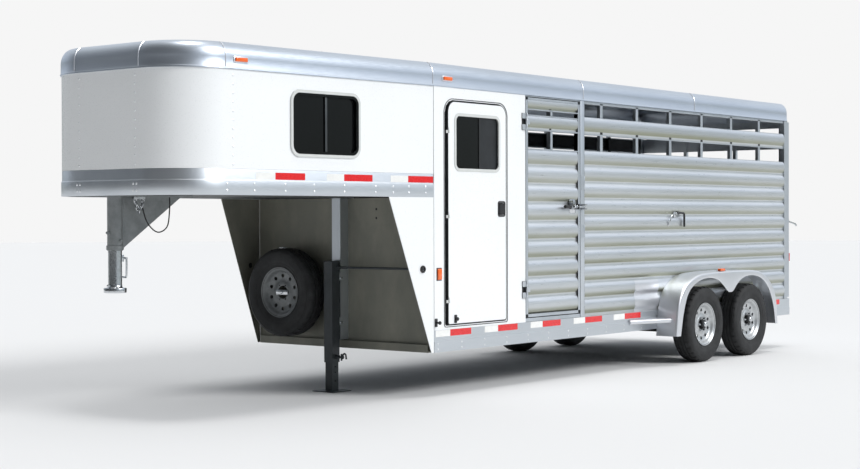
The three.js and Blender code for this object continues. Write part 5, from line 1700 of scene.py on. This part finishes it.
@dataclass
class Hitch:
    """Coupler neck, sliding tube, handle, safety chains and the breakaway cable."""

    x: float = -NOSE_L + 0.083
    neck_r: float = 0.058
    slide_r: float = 0.052
    cable_r: float = 0.005

    def build(self) -> None:
        """Build the hitch."""
        self.neck()
        self.slide()
        self.handle()
        self.chains()
        self.cable()

    def neck(self) -> None:
        """Outer tube, top plate, gusset, set bolts and joint collar."""
        tube = turned("neck_tube", [
            (0.0535, 0), (0.0568, 0.0), (self.neck_r, 0.0012), (self.neck_r, 0.409),
            (0.0535, 0.409)], 48)
        tube.matrix_world = Matrix.Translation(place(self.x, 0, 1.264)) @ Matrix.Rotation(
            math.pi / 2, 4, "X")
        settle(tube)
        plate = eased_box("plate", place(-2.638, -0.110, 1.6732), place(-1.900, 0.110, 1.6830), 0.002, 1)
        web = slab("web", [place(self.x + 0.055, -0.007, 1.268), place(-1.925, -0.007, 1.674),
                           place(self.x + 0.055, -0.007, 1.674)], Vector((0, 0.014, 0)))
        collar = turned("collar", [
            (0.0585, 0.0), (0.0650, 0.002), (0.0650, 0.034), (0.0585, 0.036)], 48)
        collar.matrix_world = Matrix.Translation(place(self.x, 0, 1.268)) @ Matrix.Rotation(
            math.pi / 2, 4, "X")
        settle(collar)
        bolts = [rod("bolt", place(self.x - self.neck_r - 0.024, 0, z),
                     place(self.x - self.neck_r + 0.004, 0, z), 0.011, 6) for z in (1.398,)]
        bolts.append(rod("bolt", place(self.x, -self.neck_r - 0.020, 1.34),
                         place(self.x, -self.neck_r + 0.004, 1.34), 0.010, 6))
        dress(settle(joined("coupler_outer_tube", [tube, plate, web, collar] + bolts)),
              COUPLER_GREY, replaces=["coupler_neck"])

    def slide(self) -> None:
        """Inner tube with the ball socket and its flange."""
        tube = turned("slide_tube", [
            (0.0380, 0.0), (0.0820, 0.0), (0.0855, 0.003), (0.0860, 0.008), (0.0860, 0.030),
            (0.0840, 0.036), (0.0600, 0.0390), (0.0540, 0.046), (self.slide_r, 0.060),
            (self.slide_r, 0.612), (0.049, 0.613), (0, 0.613), (0, 0.112), (0.030, 0.110),
            (0.038, 0.100)], 48)
        tube.matrix_world = Matrix.Translation(place(self.x, 0, 0.947)) @ Matrix.Rotation(
            math.pi / 2, 4, "X")
        settle(tube)
        lug = eased_box("lug", place(self.x + 0.046, -0.030, 1.180),
                        place(self.x + 0.064, 0.030, 1.232), 0.004, 2)
        front = rod("stud", place(self.x - 0.076, 0, 1.000), place(self.x - 0.050, 0, 1.000), 0.010, 6)
        dress(settle(joined("coupler_inner_tube", [tube, lug, front])), PLATED,
              "coupler_tube", ["coupler_tube"])

    def handle(self) -> None:
        """Plated D handle that locks the coupler."""
        x = self.x + self.slide_r + 0.022
        loop = bar("coupler_d_handle", [
            place(x, -0.044, 1.214), place(x, -0.044, 1.19), place(x, -0.044, 1.09),
            place(x, -0.042, 1.064), place(x, -0.020, 1.062), place(x, 0.020, 1.062),
            place(x, 0.042, 1.064), place(x, 0.044, 1.09), place(x, 0.044, 1.19),
            place(x, 0.044, 1.214)], 0.008)
        pin = rod("pin", place(x, -0.044, 1.206), place(x, 0.044, 1.206), 0.008)
        dress(settle(joined("coupler_d_handle", [loop, pin])), PLATED, "coupler_handle",
              ["coupler_handle"])

    def chains(self) -> None:
        """Safety chain folded up on its hook under the nose plate."""
        links = []
        at = [(-2.470, 1.640, 0), (-2.462, 1.612, 1), (-2.450, 1.586, 0), (-2.436, 1.562, 1),
              (-2.420, 1.582, 0), (-2.404, 1.606, 1), (-2.392, 1.634, 0)]
        for x, z, flat in at:
            y = -0.085
            w, h = 0.011, 0.018
            across = Vector((0, 1, 0)) if flat else Vector((1, 0, 0))
            ring = []
            for i in range(17):
                a = 2 * math.pi * i / 16
                ring.append(place(x, y, z) + across * (w * math.cos(a))
                            + Vector((0, 0, h * math.sin(a))))
            links.append(bar("link", ring, 0.0038, 2, False))
        eye = eased_box("eye", place(-2.490, -0.096, 1.650), place(-2.376, -0.074, 1.6735), 0.003, 1)
        dress(settle(joined("safety_chain", links + [eye])), PLATED)

    def cable(self) -> None:
        """Breakaway cable: a black loop hanging from the nose plate."""
        top = 1.683 - 0.0106 - self.cable_r
        pins = [(-2.380, -0.060, top), (-2.376, -0.062, 1.590), (-2.330, -0.066, 1.470),
                (-2.230, -0.066, 1.400), (-2.130, -0.064, 1.440), (-2.100, -0.060, 1.560),
                (-2.096, -0.058, top)]
        fine = []
        points = [Vector(p) for p in pins]
        for i in range(len(points) - 1):
            p = [points[max(0, min(len(points) - 1, i + k))] for k in (-1, 0, 1, 2)]
            for s in range(5):
                t = s / 5
                fine.append(0.5 * (2 * p[1] + (p[2] - p[0]) * t
                                   + (2 * p[0] - 5 * p[1] + 4 * p[2] - p[3]) * t * t
                                   + (3 * p[1] - p[0] - 3 * p[2] + p[3]) * t ** 3))
        fine.append(points[-1])
        path = [place(*p) for p in fine]
        cord = bar("breakaway_cord", path, self.cable_r, 3, False)
        dress(cord, SHEATH, replaces=["breakaway_cable"])


@dataclass
class Jack:
    """Details on the drop-leg jack: top cap, gear cover, brackets' bolts, plunger pin."""

    x: float = -0.1698
    y: float = -0.015

    def build(self) -> None:
        """Build the jack's small parts."""
        cap = eased_box("jack_cap", place(self.x - 0.0495, self.y - 0.0495, 1.118),
                        place(self.x + 0.0470, self.y + 0.0495, 1.132), 0.004, 2)
        cover = rod("gear_cover", place(self.x + 0.028, self.y - 0.0475, 1.076),
                    place(self.x + 0.028, self.y - 0.064, 1.076), 0.024, 24, 0.003)
        dress(settle(joined("jack_cap_and_cover", [cap, cover])), JACK)
        y = self.y - 0.0475
        knob = turned("plunger_knob", [
            (0, -0.086), (0.012, -0.085), (0.017, -0.078), (0.016, -0.068), (0.009, -0.062),
            (0.0082, -0.030), (0.0, -0.030)], 24, False)
        knob.matrix_world = Matrix.Translation(place(self.x, y, 0.300))
        hook = bar("plunger_hook", [
            place(self.x, y - 0.070, 0.300), place(self.x, y - 0.082, 0.325),
            place(self.x, y - 0.100, 0.335), place(self.x, y - 0.116, 0.322),
            place(self.x, y - 0.118, 0.285)], 0.0075)
        dress(settle(joined("jack_plunger", [settle(knob), hook])), JACK, "jack_pin")
        bolts = []
        for z in (0.608, 0.996):
            for s in (-1, 1):
                at = place(-0.104, self.y + s * 0.0475, z + s * 0.012)
                bolts.append(rod("bolt", at + Vector((-0.006, -0.0, 0)),
                                 at + Vector((0.016, 0, 0)), 0.010, 6))
        dress(settle(joined("jack_bracket_bolts", bolts)), PLATED)


@dataclass
class RearEnd:
    """Tail lamps and the ribs of the front wall's seam bolts."""

    def build(self) -> None:
        """Build the lamps on the rear posts and the bolts on the front wall."""
        lenses = []
        for side in Side:
            low, high = sorted((side.value * (HALF - 0.062), side.value * (HALF - 0.020)))
            lenses.append(eased_box("lens", place(6.640, low, 0.99), place(6.6415, high, 1.08),
                                    0.0005, 1))
        bpy.data.objects.remove(lenses[0])
        bpy.data.objects.remove(lenses[1])
        lamps = []
        for y0, y1 in ((-HALF - 0.0005, -HALF + 0.05), (HALF - 0.05, HALF + 0.0005)):
            lamps.append(eased_box("lens", place(6.690, y0 + 0.006, 0.990),
                                   place(6.716, y1 + 0.006 if y0 < 0 else y1, 1.084), 0.006, 3))
        dress(settle(joined("tail_lamps", lamps)), LENS_RED, "rear_gate")
        heads = [Matrix.Translation(place(-0.006, -0.386, z)) @ TO_FRONT for z in (1.581, 1.504)]
        dress(scattered("wall_plugs", dome("head", 0.011, 0.004), heads), BLACK_MOULDED)


# ------------------------------------------------------------------ carried-over nodes


def dress_nodes() -> None:
    """Give every CAD node that is still shown its finish."""
    finishes = {
        "chassis": MILL, "floor": DECK, "base_rail_left": MILL, "base_rail_right": MILL,
        "nose_floor": DECK, "nose_window_glass": TINT, "nose_window_slider": TINT,
        "front_wall": WALL_GREY, "riser_left": WHITE, "riser_right": WALL_GREY,
        "door_keeper": PLATED, "jack_channel": MILL_UPRIGHT,
        "front_side_left": WHITE, "front_side_right": WHITE, "entry_glass": TINT,
        # stock sides, door, bulkhead and gate: painted shade of the dim stock room
        "entry_slider": SCREEN, "stock_side_left": STOCK_ROOM_SHADE, "stock_side_right": STOCK_ROOM_SHADE,
        "stock_door": STOCK_ROOM_SHADE, "bulkhead": STOCK_ROOM_SHADE, "center_gate": STOCK_ROOM_SHADE,
        "rear_frame": MILL_UPRIGHT, "rear_gate": MILL_UPRIGHT, "gate_latch": PLATED,
        "roof_sheet": ROOF_CAP, "jack_tube": JACK, "jack_leg": JACK, "jack_pin": JACK,
        "jack_crank": JACK, "axle_front": AXLE, "axle_rear": AXLE,
    }
    for name, obj in frame["nodes"].items():
        finish = finishes.get(name)
        if finish is None:
            continue
        obj.data.materials.clear()
        obj.data.materials.append(finish.material())
        LOG.info("node %s: %s", name, finish.name)


def main() -> None:
    """Build the scene, piece by piece, and report each."""
    random.seed(7)
    Studio().build()
    Nose().build()
    Roof().build()
    walls = StockBody()
    walls.build()
    StockDoor().build(walls)
    EntryDoor().build()
    BaseRail().build()
    Fenders().build()
    wheel = Wheel()
    wheel.make()
    for end, x in zip(("front", "rear"), WHEEL_X):
        wheel.fit(f"{end}_left", 0.0, place(x, -WHEEL_OUT, TYRE_R), f"wheel_{end}_left")
        wheel.fit(f"{end}_right", math.pi, place(x, WHEEL_OUT, TYRE_R), f"wheel_{end}_right")
    wheel.fit_spare()
    wheel.clear()
    Hitch().build()
    Jack().build()
    RearEnd().build()
    dress_nodes()


if __name__ == "__main__":
    main()
